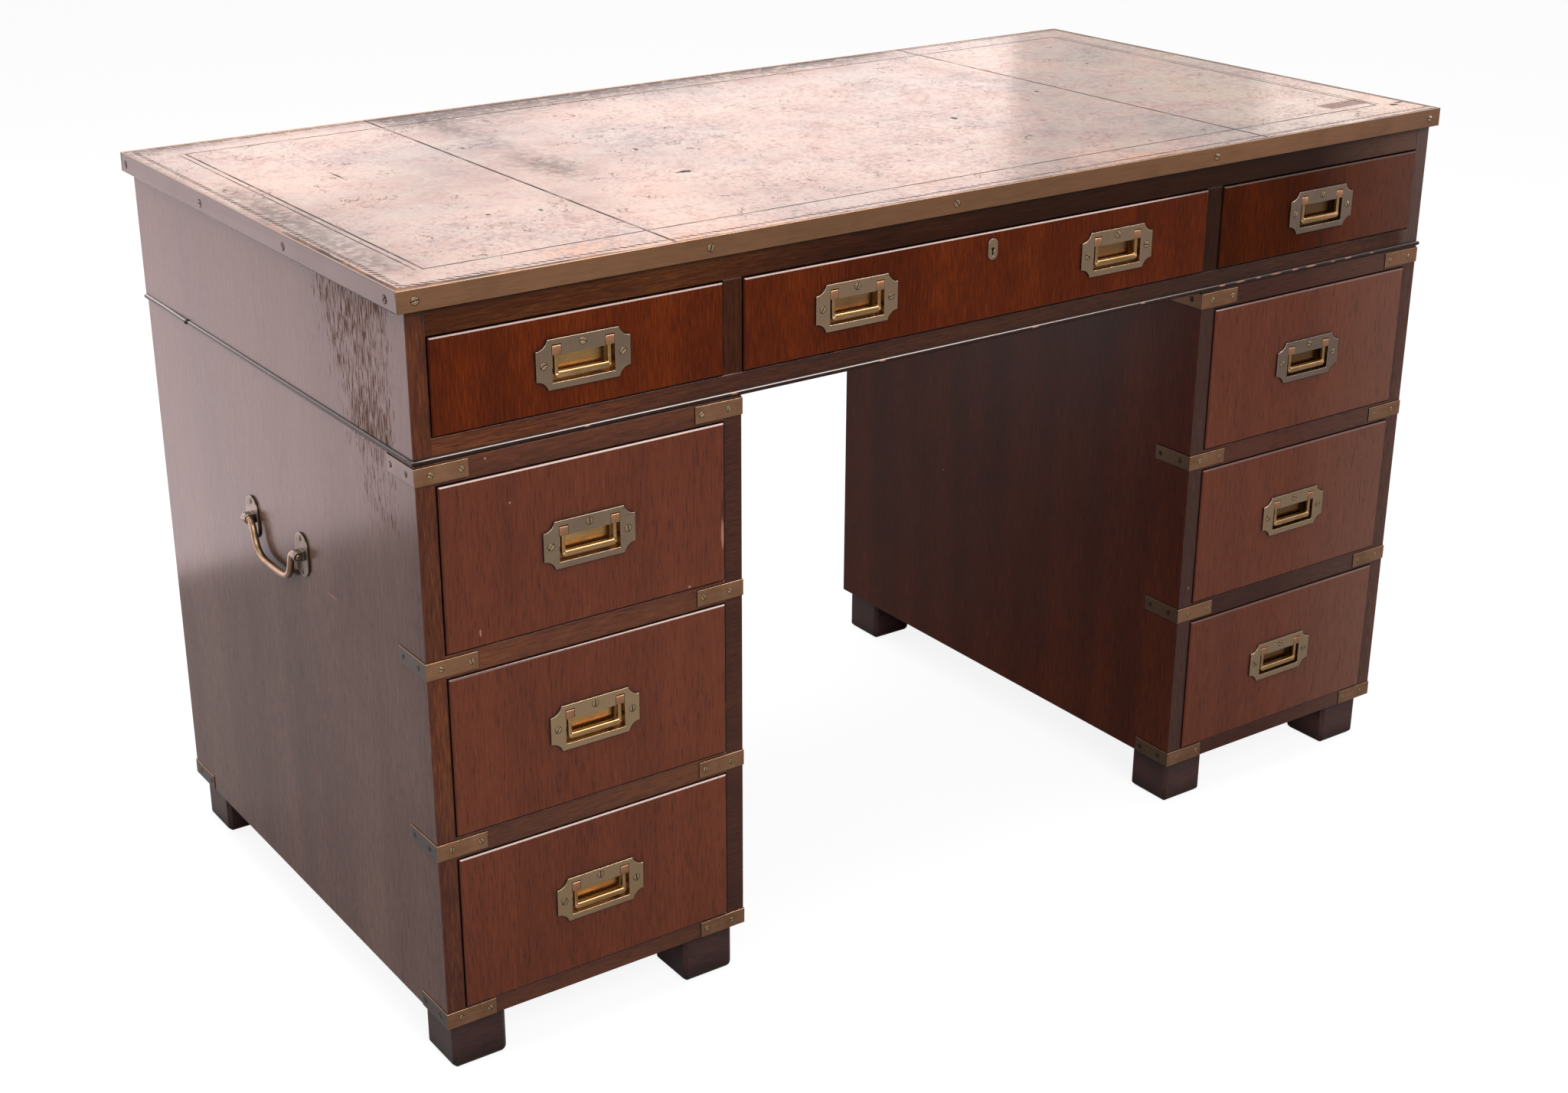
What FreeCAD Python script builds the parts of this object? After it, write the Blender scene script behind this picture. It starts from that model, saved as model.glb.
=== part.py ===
import FreeCAD, Part
import math
import os
import re
import Sketcher

# A pedestal campaign desk in three sections: a frieze with a leather writing surface,
# standing on two pedestals of drawers, with recessed brass pulls.
# X runs across the desk, Y from the front (-) to the back (+), Z up from the floor.

Vector = FreeCAD.Vector
doc = FreeCAD.newDocument("campaign_desk")

# ---------------------------------------------------------------- sizes

sheet = doc.addObject("Spreadsheet::Sheet", "dim")
aliases = []


def size(alias, content):
    """Write one named size into the sheet, a plain number or a formula of earlier names."""
    aliases.append(alias)
    row = len(aliases)
    sheet.set(f"A{row}", alias)
    sheet.set(f"B{row}", str(content))
    sheet.setAlias(f"B{row}", alias)


def ex(text):
    """Turn sheet names in a formula into references to the sheet."""
    def refer(match):
        word = match.group()
        return f"dim.{word}" if word in aliases else word
    return re.sub(r"[a-z][a-z_0-9]*", refer, text)


def number(text):
    """Present value of a sheet name, with or without a minus sign."""
    if text == "0":
        return 0.0
    sign = -1.0 if text.startswith("-") else 1.0
    return sign * float(sheet.get(text.lstrip("-")))


dimensions = {
    # Top: brass band, board and leather
    "desk_width": 1264,  # over the brass bands
    "desk_depth": 632,  # over the brass bands
    "band_height": 19.4,
    "band_thick": 2.4,
    "leather_thick": 1.4,
    "leather_sink": 0.2,  # leather below the band's upper edge
    "leather_gap": 0.5,  # between the leather's edge and the band
    # Frieze
    "side_overhang": 8.8,  # band beyond the frieze's side
    "front_overhang": 5.4,
    "back_overhang": 8.4,
    "end_thick": 18,
    "divider_thick": 20,
    "centre_opening": 580,  # between the dividers
    "frieze_opening": 89,  # height of the frieze drawers' openings
    "frieze_rail": 24.1,  # height of the rail above them
    "frieze_base": 21.5,  # thickness of the board below them
    "frieze_back_thick": 12,
    "kicker_width": 20,
    "rail_depth": 60,  # front to back, all front rails
    "bead_height": 5,
    "bead_seat": 5,  # depth of the rebate that takes the bead
    "bead_bevel": 1.6,
    # Pedestals
    "case_width": 331.6,
    "case_step": 0.9,  # pedestal front ahead of the frieze's
    "case_back_step": 4.1,  # pedestal back ahead of the frieze's
    "side_thick": 19,
    "back_thick": 10,
    "bottom_board": 17.3,
    "top_board": 20.9,
    "rail_height": 22,
    "drawer_opening": 158.5,  # height of the pedestal drawers' openings
    "runner_width": 22,
    "foot_height": 53,
    "foot_side": 57,
    "foot_bevel": 4,
    "foot_inset": 8,
    "foot_back_inset": 5,
    "section_gap": 0.3,  # between a pedestal and the frieze that rests on it
    "tenon_width": 14,
    "tenon_length": 40,  # front to back
    "tenon_height": 12,  # above the pedestal
    "tenon_spacing": 400,  # front to back
    "tenon_clear": 0.8,  # round a tenon in its mortise
    # Drawers
    "drawer_gap": 1.2,  # round a drawer front
    "front_thick": 20,
    "front_proud": 2.4,  # drawer front ahead of the carcass
    "front_bevel": 1.5,
    "box_thick": 10,
    "box_clear": 1.0,  # beside a drawer's box
    "run_clear": 0.3,  # under and behind a drawer's box
    "box_lower": 22,  # top of a drawer's box below its opening
    "floor_thick": 6,
    "floor_raise": 8,  # drawer bottom above the lower edge of its sides
    # Brass straps
    "strap_height": 16.3,
    "strap_wing": 51.5,
    "strap_thick": 2,
    "strap_proud": 1,
    "strap_drop": 1.7,  # highest strap below the top of its pedestal
    "strap_raise": 0.3,  # lowest strap above the underside of its pedestal
    # Recessed pulls
    "plate_width": 94.4,
    "plate_height": 45.2,
    "plate_thick": 1.8,
    "scoop_radius": 12,
    "scoop_out": 3,  # scoop's centre beyond the plate's long edge
    "window_width": 63,
    "window_top": 7.9,  # above the plate's centre
    "window_low": 16.6,  # below the plate's centre
    "pan_depth": 9.5,  # from the plate's face to the pan's floor
    "pan_wall": 2,
    "pan_floor": 1,
    "pan_clear": 0.3,  # round the pan in the drawer front
    "centre_pull": 162.8,  # pulls of the centre drawer from its middle
    "lug_width": 9.2,
    "lug_clear": 0.3,
    "lug_depth": 6.6,
    "lug_above": 3.6,  # lug above its pin
    "lug_round": 0.8,  # bevel on the lug's upper edges
    "lug_proud": 0.3,
    "pin_above": 5.1,  # pin's centre above the window
    "notch_above": 4.7,  # notch above the pin's centre
    "pin_radius": 1.2,
    "pin_clear": 0.07,
    "arm_width": 3.8,
    "arm_depth": 3.4,
    "bar_side": 6,
    "bar_bevel": 1.6,
    "bar_drop": 23.1,  # bar's centre below the pin's
    # Centre drawer's lock
    "key_plate_width": 11.5,
    "key_plate_height": 21,
    "key_plate_thick": 1.2,
    "key_plate_drop": 17.3,  # its centre below the top of the drawer front
    "key_radius": 1.9,
    "key_slot": 1.8,
    "key_length": 6.5,  # keyhole below its round eye
    "lock_width": 54,
    "lock_height": 34,
    "lock_depth": 10,
    "bolt_width": 18,
    "bolt_thick": 5,
    "bolt_length": 16,
    "bolt_throw": 7,
    "bolt_clear": 0.3,
    "bolt_cover": 1,  # metal behind the bolt
    "strike_clear": 1.0,  # round the bolt in the rail
    # Carrying handles on the outer sides
    "handle_level": 445.5,  # plates' centre above the floor
    "handle_centre": 1,  # plates' middle behind the desk's
    "handle_span": 118,  # between the plates' centres
    "oval_width": 28,
    "oval_height": 44,
    "oval_thick": 2.2,
    "ear_radius": 4.8,
    "pivot_out": 7.2,  # pivot's centre from the side panel
    "pivot_radius": 2.6,
    "pivot_clear": 0.08,
    "grip_side": 6.4,
    "grip_clear": 0.8,  # between a collar and its ear
    "grip_drop": 32,  # grip's centre below its pivot
    "grip_bend": 21,
    "grip_neck": 8,  # slanted run between an arm and its collar
    "grip_collar": 2,  # straight run against the ear
    "pivot_proud": 1.2,  # pivot's end beyond its ear
}
for alias, content in dimensions.items():
    size(alias, content)

# Levels and planes that follow from these
size("case_low", "=foot_height")
size("pitch", "=drawer_opening + rail_height")
size("case_top", "=case_low + bottom_board + 3 * drawer_opening + 2 * rail_height + top_board")
size("frieze_low", "=case_top + section_gap")
size("frieze_floor", "=frieze_low + frieze_base")
size("frieze_lintel", "=frieze_floor + frieze_opening")
size("frieze_top", "=frieze_lintel + frieze_rail")
size("desk_height", "=frieze_top + band_height")
size("frieze_half", "=desk_width / 2 - side_overhang")
size("frieze_front", "=front_overhang - desk_depth / 2")
size("frieze_rear", "=desk_depth / 2 - back_overhang")
size("frieze_inner", "=frieze_half - end_thick")
size("frieze_inside_rear", "=frieze_rear - frieze_back_thick")
size("divider_near", "=centre_opening / 2")
size("divider_far", "=divider_near + divider_thick")
size("case_near", "=frieze_half - case_width")
size("case_front", "=frieze_front - case_step")
size("case_rear", "=frieze_rear - case_back_step")
size("case_inside_rear", "=case_rear - back_thick")
size("bay_near", "=case_near + side_thick")
size("bay_far", "=frieze_half - side_thick")
size("bay_middle", "=(bay_near + bay_far) / 2")
size("front_set", "=front_thick - front_proud")
size("window_half", "=window_width / 2")
size("plate_half", "=plate_width / 2")
size("plate_top", "=plate_height / 2")
size("plate_shoulder", "=plate_half - sqrt(scoop_radius^2 - scoop_out^2)")
size("plate_cheek", "=plate_top + scoop_out - scoop_radius")
size("scoop_level", "=plate_top + scoop_out")
size("pin_level", "=window_top + pin_above")
size("notch_top", "=pin_level + notch_above")
size("notch_near", "=window_half - lug_width - 2 * lug_clear")
size("pan_half", "=window_half + pan_wall")
size("pan_top", "=notch_top + pan_wall")
size("pan_low", "=window_low + pan_wall")
size("pan_back", "=pan_depth - plate_thick + pan_floor")
size("lug_middle", "=window_half - lug_clear - lug_width / 2")
size("pin_back", "=lug_depth / 2 - lug_proud - plate_thick")
size("oval_half", "=oval_width / 2")
size("oval_straight", "=(oval_height - oval_width) / 2")


# ---------------------------------------------------------------- tools

def block(name, x, y, z):
    """A board between three pairs of planes."""
    board = doc.addObject("Part::Box", name)
    rows = zip(("Length", "Width", "Height"), "xyz", (x, y, z))
    for edge, axis, (low, high) in rows:
        board.setExpression(edge, ex(f"({high}) - ({low})"))
        board.setExpression(f"Placement.Base.{axis}", ex(low))
    return board


def at(thing, x="0", y="0", z="0"):
    """Give an object its place."""
    for axis, formula in zip("xyz", (x, y, z)):
        if formula != "0":
            thing.setExpression(f"Placement.Base.{axis}", ex(formula))
    return thing


def rod(name, radius, length, axis, x="0", y="0", z="0"):
    """A round bar whose axis runs along X, Y or Z from the given point."""
    bar = doc.addObject("Part::Cylinder", name)
    bar.setExpression("Radius", ex(radius))
    bar.setExpression("Height", ex(length))
    turns = {"x": (Vector(0, 1, 0), 90), "y": (Vector(1, 0, 0), -90), "z": (Vector(0, 0, 1), 0)}
    bar.Placement.Rotation = FreeCAD.Rotation(*turns[axis])
    return at(bar, x, y, z)


def side_span(side, near, far):
    """A pair of planes at the given distances, on the left (-1) or right (1) of the middle."""
    if side > 0:
        return near, far
    return f"-({far})", f"-({near})"


def join(name, pieces):
    """One solid made of touching or overlapping pieces."""
    joined = doc.addObject("Part::MultiFuse", name)
    joined.Shapes = pieces
    joined.Refine = True
    return joined


def cut(name, base, tool):
    """The base with the tool's form taken out of it."""
    result = doc.addObject("Part::Cut", name)
    result.Base = base
    result.Tool = tool
    return result


def group(name, pieces):
    """Several pieces held as one object."""
    held = doc.addObject("Part::Compound", name)
    held.Links = pieces
    return held


nodes = []


def node(name, pieces, x="0", y="0", z="0"):
    """A sub-part that gets a file of its own."""
    part = at(group(name, pieces), x, y, z)
    part.Label = name
    nodes.append(part)
    return part


def new_body(name):
    return doc.addObject("PartDesign::Body", name)


def sketch_on(body, role, name, offset="0"):
    """A sketch on one of the body's own planes, moved along the plane's normal."""
    plane = next(item for item in body.Origin.OriginFeatures if item.Role == role)
    sketch = body.newObject("Sketcher::SketchObject", name)
    sketch.AttachmentSupport = (plane, [""])
    sketch.MapMode = "FlatFace"
    if offset != "0":
        sketch.setExpression("AttachmentOffset.Base.z", ex(offset))
    return sketch


def pin_point(sketch, geometry, end, x, y):
    """Hold a point of the sketch at two named coordinates."""
    for kind, formula in (("DistanceX", x), ("DistanceY", y)):
        value = number(formula)
        index = sketch.addConstraint(Sketcher.Constraint(kind, -1, 1, geometry, end, value))
        if formula != "0":
            sketch.setExpression(f"Constraints[{index}]", ex(formula))


def outline(sketch, corners):
    """A closed outline of straight edges through named corners."""
    points = [Vector(number(x), number(y), 0) for x, y in corners]
    count = len(points)
    first = len(sketch.Geometry)
    for index in range(count):
        edge = Part.LineSegment(points[index], points[(index + 1) % count])
        sketch.addGeometry(edge, False)
    for index in range(count):
        following = first + (index + 1) % count
        sketch.addConstraint(Sketcher.Constraint("Coincident", first + index, 2, following, 1))
    for index, (x, y) in enumerate(corners):
        pin_point(sketch, first + index, 1, x, y)


def rectangle(sketch, x_low, x_high, y_low, y_high):
    """A rectangle between named coordinates."""
    outline(sketch, [(x_low, y_low), (x_high, y_low), (x_high, y_high), (x_low, y_high)])


def circle(sketch, x, y, radius):
    """A circle at a named centre."""
    centre = Vector(number(x), number(y), 0)
    index = sketch.addGeometry(Part.Circle(centre, Vector(0, 0, 1), number(radius)), False)
    pin_point(sketch, index, 3, x, y)
    held = sketch.addConstraint(Sketcher.Constraint("Radius", index, number(radius)))
    sketch.setExpression(f"Constraints[{held}]", ex(radius))


def pad(body, sketch, name, length, reverse=False):
    """Thicken a sketch along its normal."""
    feature = body.newObject("PartDesign::Pad", name)
    feature.Profile = sketch
    feature.setExpression("Length", ex(length))
    feature.Reversed = reverse
    sketch.Visibility = False
    return feature


def pocket(body, sketch, name, length=None):
    """Cut a sketch into the body against its normal, or through it both ways."""
    feature = body.newObject("PartDesign::Pocket", name)
    feature.Profile = sketch
    if length is None:
        feature.Type = "ThroughAll"
        feature.Midplane = True
    else:
        feature.setExpression("Length", ex(length))
    sketch.Visibility = False
    return feature


def soften(body, kind, name, edges, amount):
    """Round or bevel the chosen edges of the body."""
    feature = body.newObject(f"PartDesign::{kind}", name)
    feature.Base = (body.Group[-2], edges)
    feature.setExpression("Radius" if kind == "Fillet" else "Size", ex(amount))
    return feature


def edges_where(shape, test):
    """Names of the edges whose every end and middle pass a test on their position."""
    names = []
    for index, edge in enumerate(shape.Edges, 1):
        middle = edge.valueAt((edge.FirstParameter + edge.LastParameter) / 2)
        places = [vertex.Point for vertex in edge.Vertexes] + [middle]
        if all(test(place) for place in places):
            names.append(f"Edge{index}")
    return names


doc.recompute()

# ---------------------------------------------------------------- writing surface

top_core = block(
    "top_core",
    ("band_thick - desk_width / 2", "desk_width / 2 - band_thick"),
    ("band_thick - desk_depth / 2", "desk_depth / 2 - band_thick"),
    ("frieze_top", "desk_height - leather_sink - leather_thick"),
)
node("top_board", [top_core])

leather = block(
    "leather_sheet",
    ("band_thick + leather_gap - desk_width / 2", "desk_width / 2 - band_thick - leather_gap"),
    ("band_thick + leather_gap - desk_depth / 2", "desk_depth / 2 - band_thick - leather_gap"),
    ("desk_height - leather_sink - leather_thick", "desk_height - leather_sink"),
)
node("leather_panel", [leather])

# The front and back bands cover the ends of the side bands.
bands = []
for side, name in ((-1, "front"), (1, "back")):
    bands.append(block(
        f"{name}_band",
        ("-desk_width / 2", "desk_width / 2"),
        side_span(side, "desk_depth / 2 - band_thick", "desk_depth / 2"),
        ("frieze_top", "desk_height"),
    ))
for side, name in ((-1, "left"), (1, "right")):
    bands.append(block(
        f"{name}_band",
        side_span(side, "desk_width / 2 - band_thick", "desk_width / 2"),
        ("band_thick - desk_depth / 2", "desk_depth / 2 - band_thick"),
        ("frieze_top", "desk_height"),
    ))
node("edge_bands", bands)

# ---------------------------------------------------------------- frieze carcass

# The bead is let into a rebate round the front and sides of the frieze's lower edge.
bead_body = new_body("bead")
bead_plan = sketch_on(bead_body, "XY_Plane", "bead_plan", "frieze_low")
size("bead_outer", "=frieze_half + bead_height / 2")
size("bead_inner", "=frieze_half - bead_seat")
size("bead_front", "=bead_height / 2 - frieze_front")
size("bead_inside_front", "=-frieze_front - bead_seat")
doc.recompute()
outline(bead_plan, [
    ("-bead_outer", "-bead_front"),
    ("bead_outer", "-bead_front"),
    ("bead_outer", "frieze_rear"),
    ("bead_inner", "frieze_rear"),
    ("bead_inner", "-bead_inside_front"),
    ("-bead_inner", "-bead_inside_front"),
    ("-bead_inner", "frieze_rear"),
    ("-bead_outer", "frieze_rear"),
])
pad(bead_body, bead_plan, "bead_strip", "bead_height")
doc.recompute()
bead_edges = edges_where(
    bead_body.Shape,
    lambda p: abs(p.x) > number("bead_outer") - 0.1 or p.y < 0.1 - number("bead_front"),
)
level_edges = [
    name for name in bead_edges
    if abs(bead_body.Shape.getElement(name).BoundBox.ZLength) < 0.1
]
soften(bead_body, "Chamfer", "bead_nose", level_edges, "bead_bevel")
node("bead_moulding", [bead_body])


def bead_rebate(name):
    """The space that the bead's strip fills inside the frieze."""
    level = ("frieze_low", "frieze_low + bead_height")
    depth = ("frieze_front", "frieze_rear")
    return join(name, [
        block(f"{name}_front", ("-frieze_half", "frieze_half"),
              ("frieze_front", "frieze_front + bead_seat"), level),
        block(f"{name}_left", ("-frieze_half", "bead_seat - frieze_half"), depth, level),
        block(f"{name}_right", ("frieze_half - bead_seat", "frieze_half"), depth, level),
    ])


rebate = bead_rebate("bead_rebate")

carcass = []
for side, name in ((-1, "left"), (1, "right")):
    panel = block(
        f"{name}_end_board",
        side_span(side, "frieze_inner", "frieze_half"),
        ("frieze_front", "frieze_rear"),
        ("frieze_low", "frieze_top"),
    )
    carcass.append(cut(f"{name}_end", panel, rebate))

carcass.append(block(
    "frieze_back",
    ("-frieze_inner", "frieze_inner"),
    ("frieze_inside_rear", "frieze_rear"),
    ("frieze_low", "frieze_top"),
))

# Tenons on the pedestals enter blind mortises in the frieze's base.


def tenon(name, side, end, clear, level):
    """A locating tenon on one pedestal, or with a clearance the mortise that takes it."""
    x = "bay_middle" if side > 0 else "-bay_middle"
    y = f"{end} * tenon_spacing / 2"
    return block(
        name,
        (f"{x} - tenon_width / 2 - {clear}", f"{x} + tenon_width / 2 + {clear}"),
        (f"{y} - tenon_length / 2 - {clear}", f"{y} + tenon_length / 2 + {clear}"),
        level,
    )


base_board = block(
    "base_board",
    ("-frieze_inner", "frieze_inner"),
    ("frieze_front", "frieze_inside_rear"),
    ("frieze_low", "frieze_floor"),
)
base_cuts = [rebate]
for side, name in ((-1, "left"), (1, "right")):
    for end, place in ((-1, "front"), (1, "back")):
        depth = ("frieze_low", "case_top + tenon_height + tenon_clear")
        base_cuts.append(tenon(f"{name}_{place}_mortise", side, end, "tenon_clear", depth))
carcass.append(cut("frieze_base", base_board, group("base_cuts", base_cuts)))
node("frieze_carcass", carcass)

rail = block(
    "frieze_rail_board",
    ("-frieze_inner", "frieze_inner"),
    ("frieze_front", "frieze_front + rail_depth"),
    ("frieze_lintel", "frieze_top"),
)

# A mortise in the rail takes the bolt of the centre drawer's lock.
size("bolt_rear", "=frieze_front + front_set - bolt_clear - bolt_cover")
strike = block(
    "strike_mortise",
    ("-bolt_width / 2 - strike_clear", "bolt_width / 2 + strike_clear"),
    ("bolt_rear - bolt_thick - strike_clear", "bolt_rear + strike_clear"),
    ("frieze_lintel", "frieze_lintel + bolt_throw + strike_clear"),
)
front_frame = [cut("frieze_rail_piece", rail, strike)]
for side, name in ((-1, "left"), (1, "right")):
    board = block(
        f"{name}_divider_board",
        side_span(side, "divider_near", "divider_far"),
        ("frieze_front", "frieze_inside_rear"),
        ("frieze_floor", "frieze_top"),
    )
    front_frame.append(cut(f"{name}_divider", board, rail))
kickers = []
for side, name in ((-1, "left"), (1, "right")):
    places = {
        "end": ("frieze_inner - kicker_width", "frieze_inner"),
        "outer": ("divider_far", "divider_far + kicker_width"),
        "centre": ("divider_near - kicker_width", "divider_near"),
    }
    for place, (near, far) in places.items():
        kickers.append(block(
            f"{name}_{place}_kicker",
            side_span(side, near, far),
            ("frieze_front + rail_depth", "frieze_inside_rear"),
            ("frieze_lintel", "frieze_top"),
        ))
node("frieze_frame", front_frame + kickers)

# ---------------------------------------------------------------- pedestals

foot_body = new_body("foot")
foot_plan = sketch_on(foot_body, "XY_Plane", "foot_plan")
size("foot_half", "=foot_side / 2")
doc.recompute()
rectangle(foot_plan, "-foot_half", "foot_half", "-foot_half", "foot_half")
pad(foot_body, foot_plan, "foot_block", "foot_height")
doc.recompute()
foot_edges = edges_where(foot_body.Shape, lambda p: p.z < number("foot_height") - 0.1)
upright_edges = edges_where(
    foot_body.Shape,
    lambda p: abs(p.x) > number("foot_half") - 0.1 and abs(p.y) > number("foot_half") - 0.1,
)
soften(foot_body, "Chamfer", "foot_bevels", foot_edges + upright_edges, "foot_bevel")

levels = {
    "top": "case_top - strap_drop - strap_height",
    "upper": "case_low + bottom_board + 2 * drawer_opening + 1.5 * rail_height - strap_height / 2",
    "lower": "case_low + bottom_board + drawer_opening + rail_height / 2 - strap_height / 2",
    "bottom": "case_low + strap_raise",
}


def strap(name, side, corner, rear, low):
    """A brass angle round an upright corner of a pedestal.

    side: -1 for the left pedestal, 1 for the right.
    corner: "outer" or "inner" corner of that pedestal.
    rear: True at the back of the pedestal.
    """
    level = (low, f"{low} + strap_height")
    if corner == "outer":
        face = "frieze_half + strap_proud"
        across = side_span(side, f"{face} - strap_wing", face)
        along_x = side_span(side, f"{face} - strap_thick", face)
    else:
        face = "case_near - strap_proud"
        across = side_span(side, face, f"{face} + strap_wing")
        along_x = side_span(side, face, f"{face} + strap_thick")
    if rear:
        end = "case_rear + strap_proud"
        across_y = (f"{end} - strap_thick", end)
        along = (f"{end} - strap_wing", end)
    else:
        end = "case_front - strap_proud"
        across_y = (end, f"{end} + strap_thick")
        along = (end, f"{end} + strap_wing")
    return join(name, [
        block(f"{name}_across", across, across_y, level),
        block(f"{name}_along", along_x, along, level),
    ])


for side, name in ((-1, "left"), (1, "right")):
    straps = []
    for level, low in levels.items():
        for corner in ("outer", "inner"):
            straps.append(strap(f"{name}_{level}_{corner}_strap", side, corner, False, low))
    straps.append(strap(f"{name}_rear_strap", side, "outer", True, levels["bottom"]))
    brasses = node(f"{name}_straps", straps)

    panels = []
    for place, near, far in (
        ("outer", "bay_far", "frieze_half"),
        ("inner", "case_near", "bay_near"),
    ):
        panel = block(
            f"{name}_{place}_panel_board",
            side_span(side, near, far),
            ("case_front", "case_rear"),
            ("case_low", "case_top"),
        )
        panels.append(cut(f"{name}_{place}_panel", panel, brasses))
    node(f"{name}_sides", panels)

    bay = side_span(side, "bay_near", "bay_far")
    back = block(
        f"{name}_back_board", bay,
        ("case_inside_rear", "case_rear"),
        ("case_low", "case_top"),
    )
    node(f"{name}_back", [cut(f"{name}_back_panel", back, brasses)])

    boards = []
    deep = ("case_front", "case_inside_rear")
    shallow = ("case_front", "case_front + rail_depth")
    cap = block(f"{name}_cap_board", bay, deep, ("case_top - top_board", "case_top"))
    tenons = []
    for end, place in ((-1, "front"), (1, "back")):
        height = ("case_top - top_board / 2", "case_top + tenon_height")
        tenons.append(tenon(f"{name}_{place}_tenon", side, end, "0", height))
    mortised = cut(f"{name}_cap_mortised", cap, group(f"{name}_tenons", tenons))
    boards.append(cut(f"{name}_cap", mortised, brasses))
    boards += tenons
    floor = block(f"{name}_floor_board", bay, deep, ("case_low", "case_low + bottom_board"))
    boards.append(cut(f"{name}_floor", floor, brasses))
    for tier, count in (("lower", 1), ("upper", 2)):
        low = f"case_low + bottom_board + {count} * drawer_opening + {count - 1} * rail_height"
        level = (low, f"{low} + rail_height")
        rail = block(f"{name}_{tier}_rail_board", bay, shallow, level)
        boards.append(cut(f"{name}_{tier}_rail", rail, brasses))
        for place, near, far in (
            ("near", "bay_near", "bay_near + runner_width"),
            ("far", "bay_far - runner_width", "bay_far"),
        ):
            boards.append(block(
                f"{name}_{tier}_{place}_runner",
                side_span(side, near, far),
                ("case_front + rail_depth", "case_inside_rear"),
                level,
            ))
    node(f"{name}_rails", boards)

    feet = []
    x_places = ("case_near + foot_inset + foot_half", "frieze_half - foot_inset - foot_half")
    y_places = (
        "case_front + foot_inset + foot_half",
        "case_rear - foot_back_inset - foot_half",
    )
    for x_place in x_places:
        for y_place in y_places:
            foot = group(f"{name}_foot_{len(feet)}", [foot_body])
            feet.append(at(foot, x_place if side > 0 else f"-({x_place})", y_place))
    node(f"{name}_feet", feet)

# ---------------------------------------------------------------- drawers

# Each drawer's own origin: the middle of its front board's back face, at the floor of its opening.
kinds = {
    "pedestal": ("bay_far - bay_near", "drawer_opening", "case_front", "case_inside_rear", ("0",)),
    "side": ("frieze_inner - divider_far", "frieze_opening", "frieze_front", "frieze_inside_rear", ("0",)),
    "centre": ("centre_opening", "frieze_opening", "frieze_front", "frieze_inside_rear",
               ("-centre_pull", "centre_pull")),
}
size("pan_bed", "=pan_back + pan_clear")
masters = {}
for kind, (bay_width, opening, face, rear, pulls) in kinds.items():
    size(f"{kind}_front_half", f"=({bay_width}) / 2 - drawer_gap")
    size(f"{kind}_front_top", f"={opening} - drawer_gap")
    size(f"{kind}_pull_level", f"={opening} / 2")
    size(f"{kind}_bed_top", f"={kind}_pull_level + pan_top + pan_clear")
    size(f"{kind}_bed_low", f"={kind}_pull_level - pan_low - pan_clear")
    size(f"{kind}_box_half", f"=({bay_width}) / 2 - box_clear")
    size(f"{kind}_box_length", f"={rear} - run_clear - ({face}) - front_set")
    size(f"{kind}_box_height", f"={opening} - box_lower")
    bed_sides = []
    for index, place in enumerate(pulls):
        size(f"{kind}_bed_left_{index}", f"={place} - pan_half - pan_clear")
        size(f"{kind}_bed_right_{index}", f"={place} + pan_half + pan_clear")
        bed_sides.append((f"{kind}_bed_left_{index}", f"{kind}_bed_right_{index}"))
    doc.recompute()

    front = new_body(f"{kind}_front")
    face_sketch = sketch_on(front, "XZ_Plane", f"{kind}_front_outline")
    half = f"{kind}_front_half"
    rectangle(face_sketch, f"-{half}", half, "drawer_gap", f"{kind}_front_top")
    pad(front, face_sketch, f"{kind}_front_board", "front_thick")
    doc.recompute()
    face_edges = edges_where(front.Shape, lambda p: p.y < 0.1 - number("front_thick"))
    soften(front, "Chamfer", f"{kind}_front_edges", face_edges, "front_bevel")
    for index, (left, right) in enumerate(bed_sides):
        bed = sketch_on(front, "XZ_Plane", f"{kind}_bed_{index}", "front_thick")
        rectangle(bed, left, right, f"{kind}_bed_low", f"{kind}_bed_top")
        pocket(front, bed, f"{kind}_bed_cut_{index}", "pan_bed")

    wall_level = ("run_clear", f"run_clear + {kind}_box_height")
    floor_level = ("run_clear + floor_raise", "run_clear + floor_raise + floor_thick")
    inner = f"{kind}_box_half - box_thick"
    length = f"{kind}_box_length"
    box = []
    for side, name in ((-1, "left"), (1, "right")):
        box.append(block(
            f"{kind}_{name}_wall",
            side_span(side, inner, f"{kind}_box_half"),
            ("0", length),
            wall_level,
        ))
    box.append(block(f"{kind}_back_wall", (f"-({inner})", inner), (f"{length} - box_thick", length),
                     ("run_clear + floor_raise + floor_thick", f"run_clear + {kind}_box_height")))
    box.append(block(f"{kind}_floor", (f"-({inner})", inner), ("0", length), floor_level))
    masters[kind] = (front, box)

# The centre drawer's front is bored for its lock and keyhole.
centre_front, centre_box = masters["centre"]
size("lock_half", "=lock_width / 2")
size("lock_low", "=centre_front_top - lock_height")
size("key_level", "=centre_front_top - key_plate_drop")
size("key_foot", "=key_level - key_length")
size("key_slot_half", "=key_slot / 2")
doc.recompute()
lock_bed = sketch_on(centre_front, "XZ_Plane", "lock_bed")
rectangle(lock_bed, "-lock_half", "lock_half", "lock_low", "centre_front_top")
lock_cut = pocket(centre_front, lock_bed, "lock_bed_cut", "lock_depth")
lock_cut.Reversed = True
key_way = sketch_on(centre_front, "XZ_Plane", "key_way", "front_thick")
rectangle(key_way, "-key_slot_half", "key_slot_half", "key_foot", "key_level")
pocket(centre_front, key_way, "key_way_cut", "front_thick")

# ---------------------------------------------------------------- recessed pull

pull_body = new_body("pull")
plate_sketch = sketch_on(pull_body, "XZ_Plane", "plate_outline")
doc.recompute()


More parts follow.
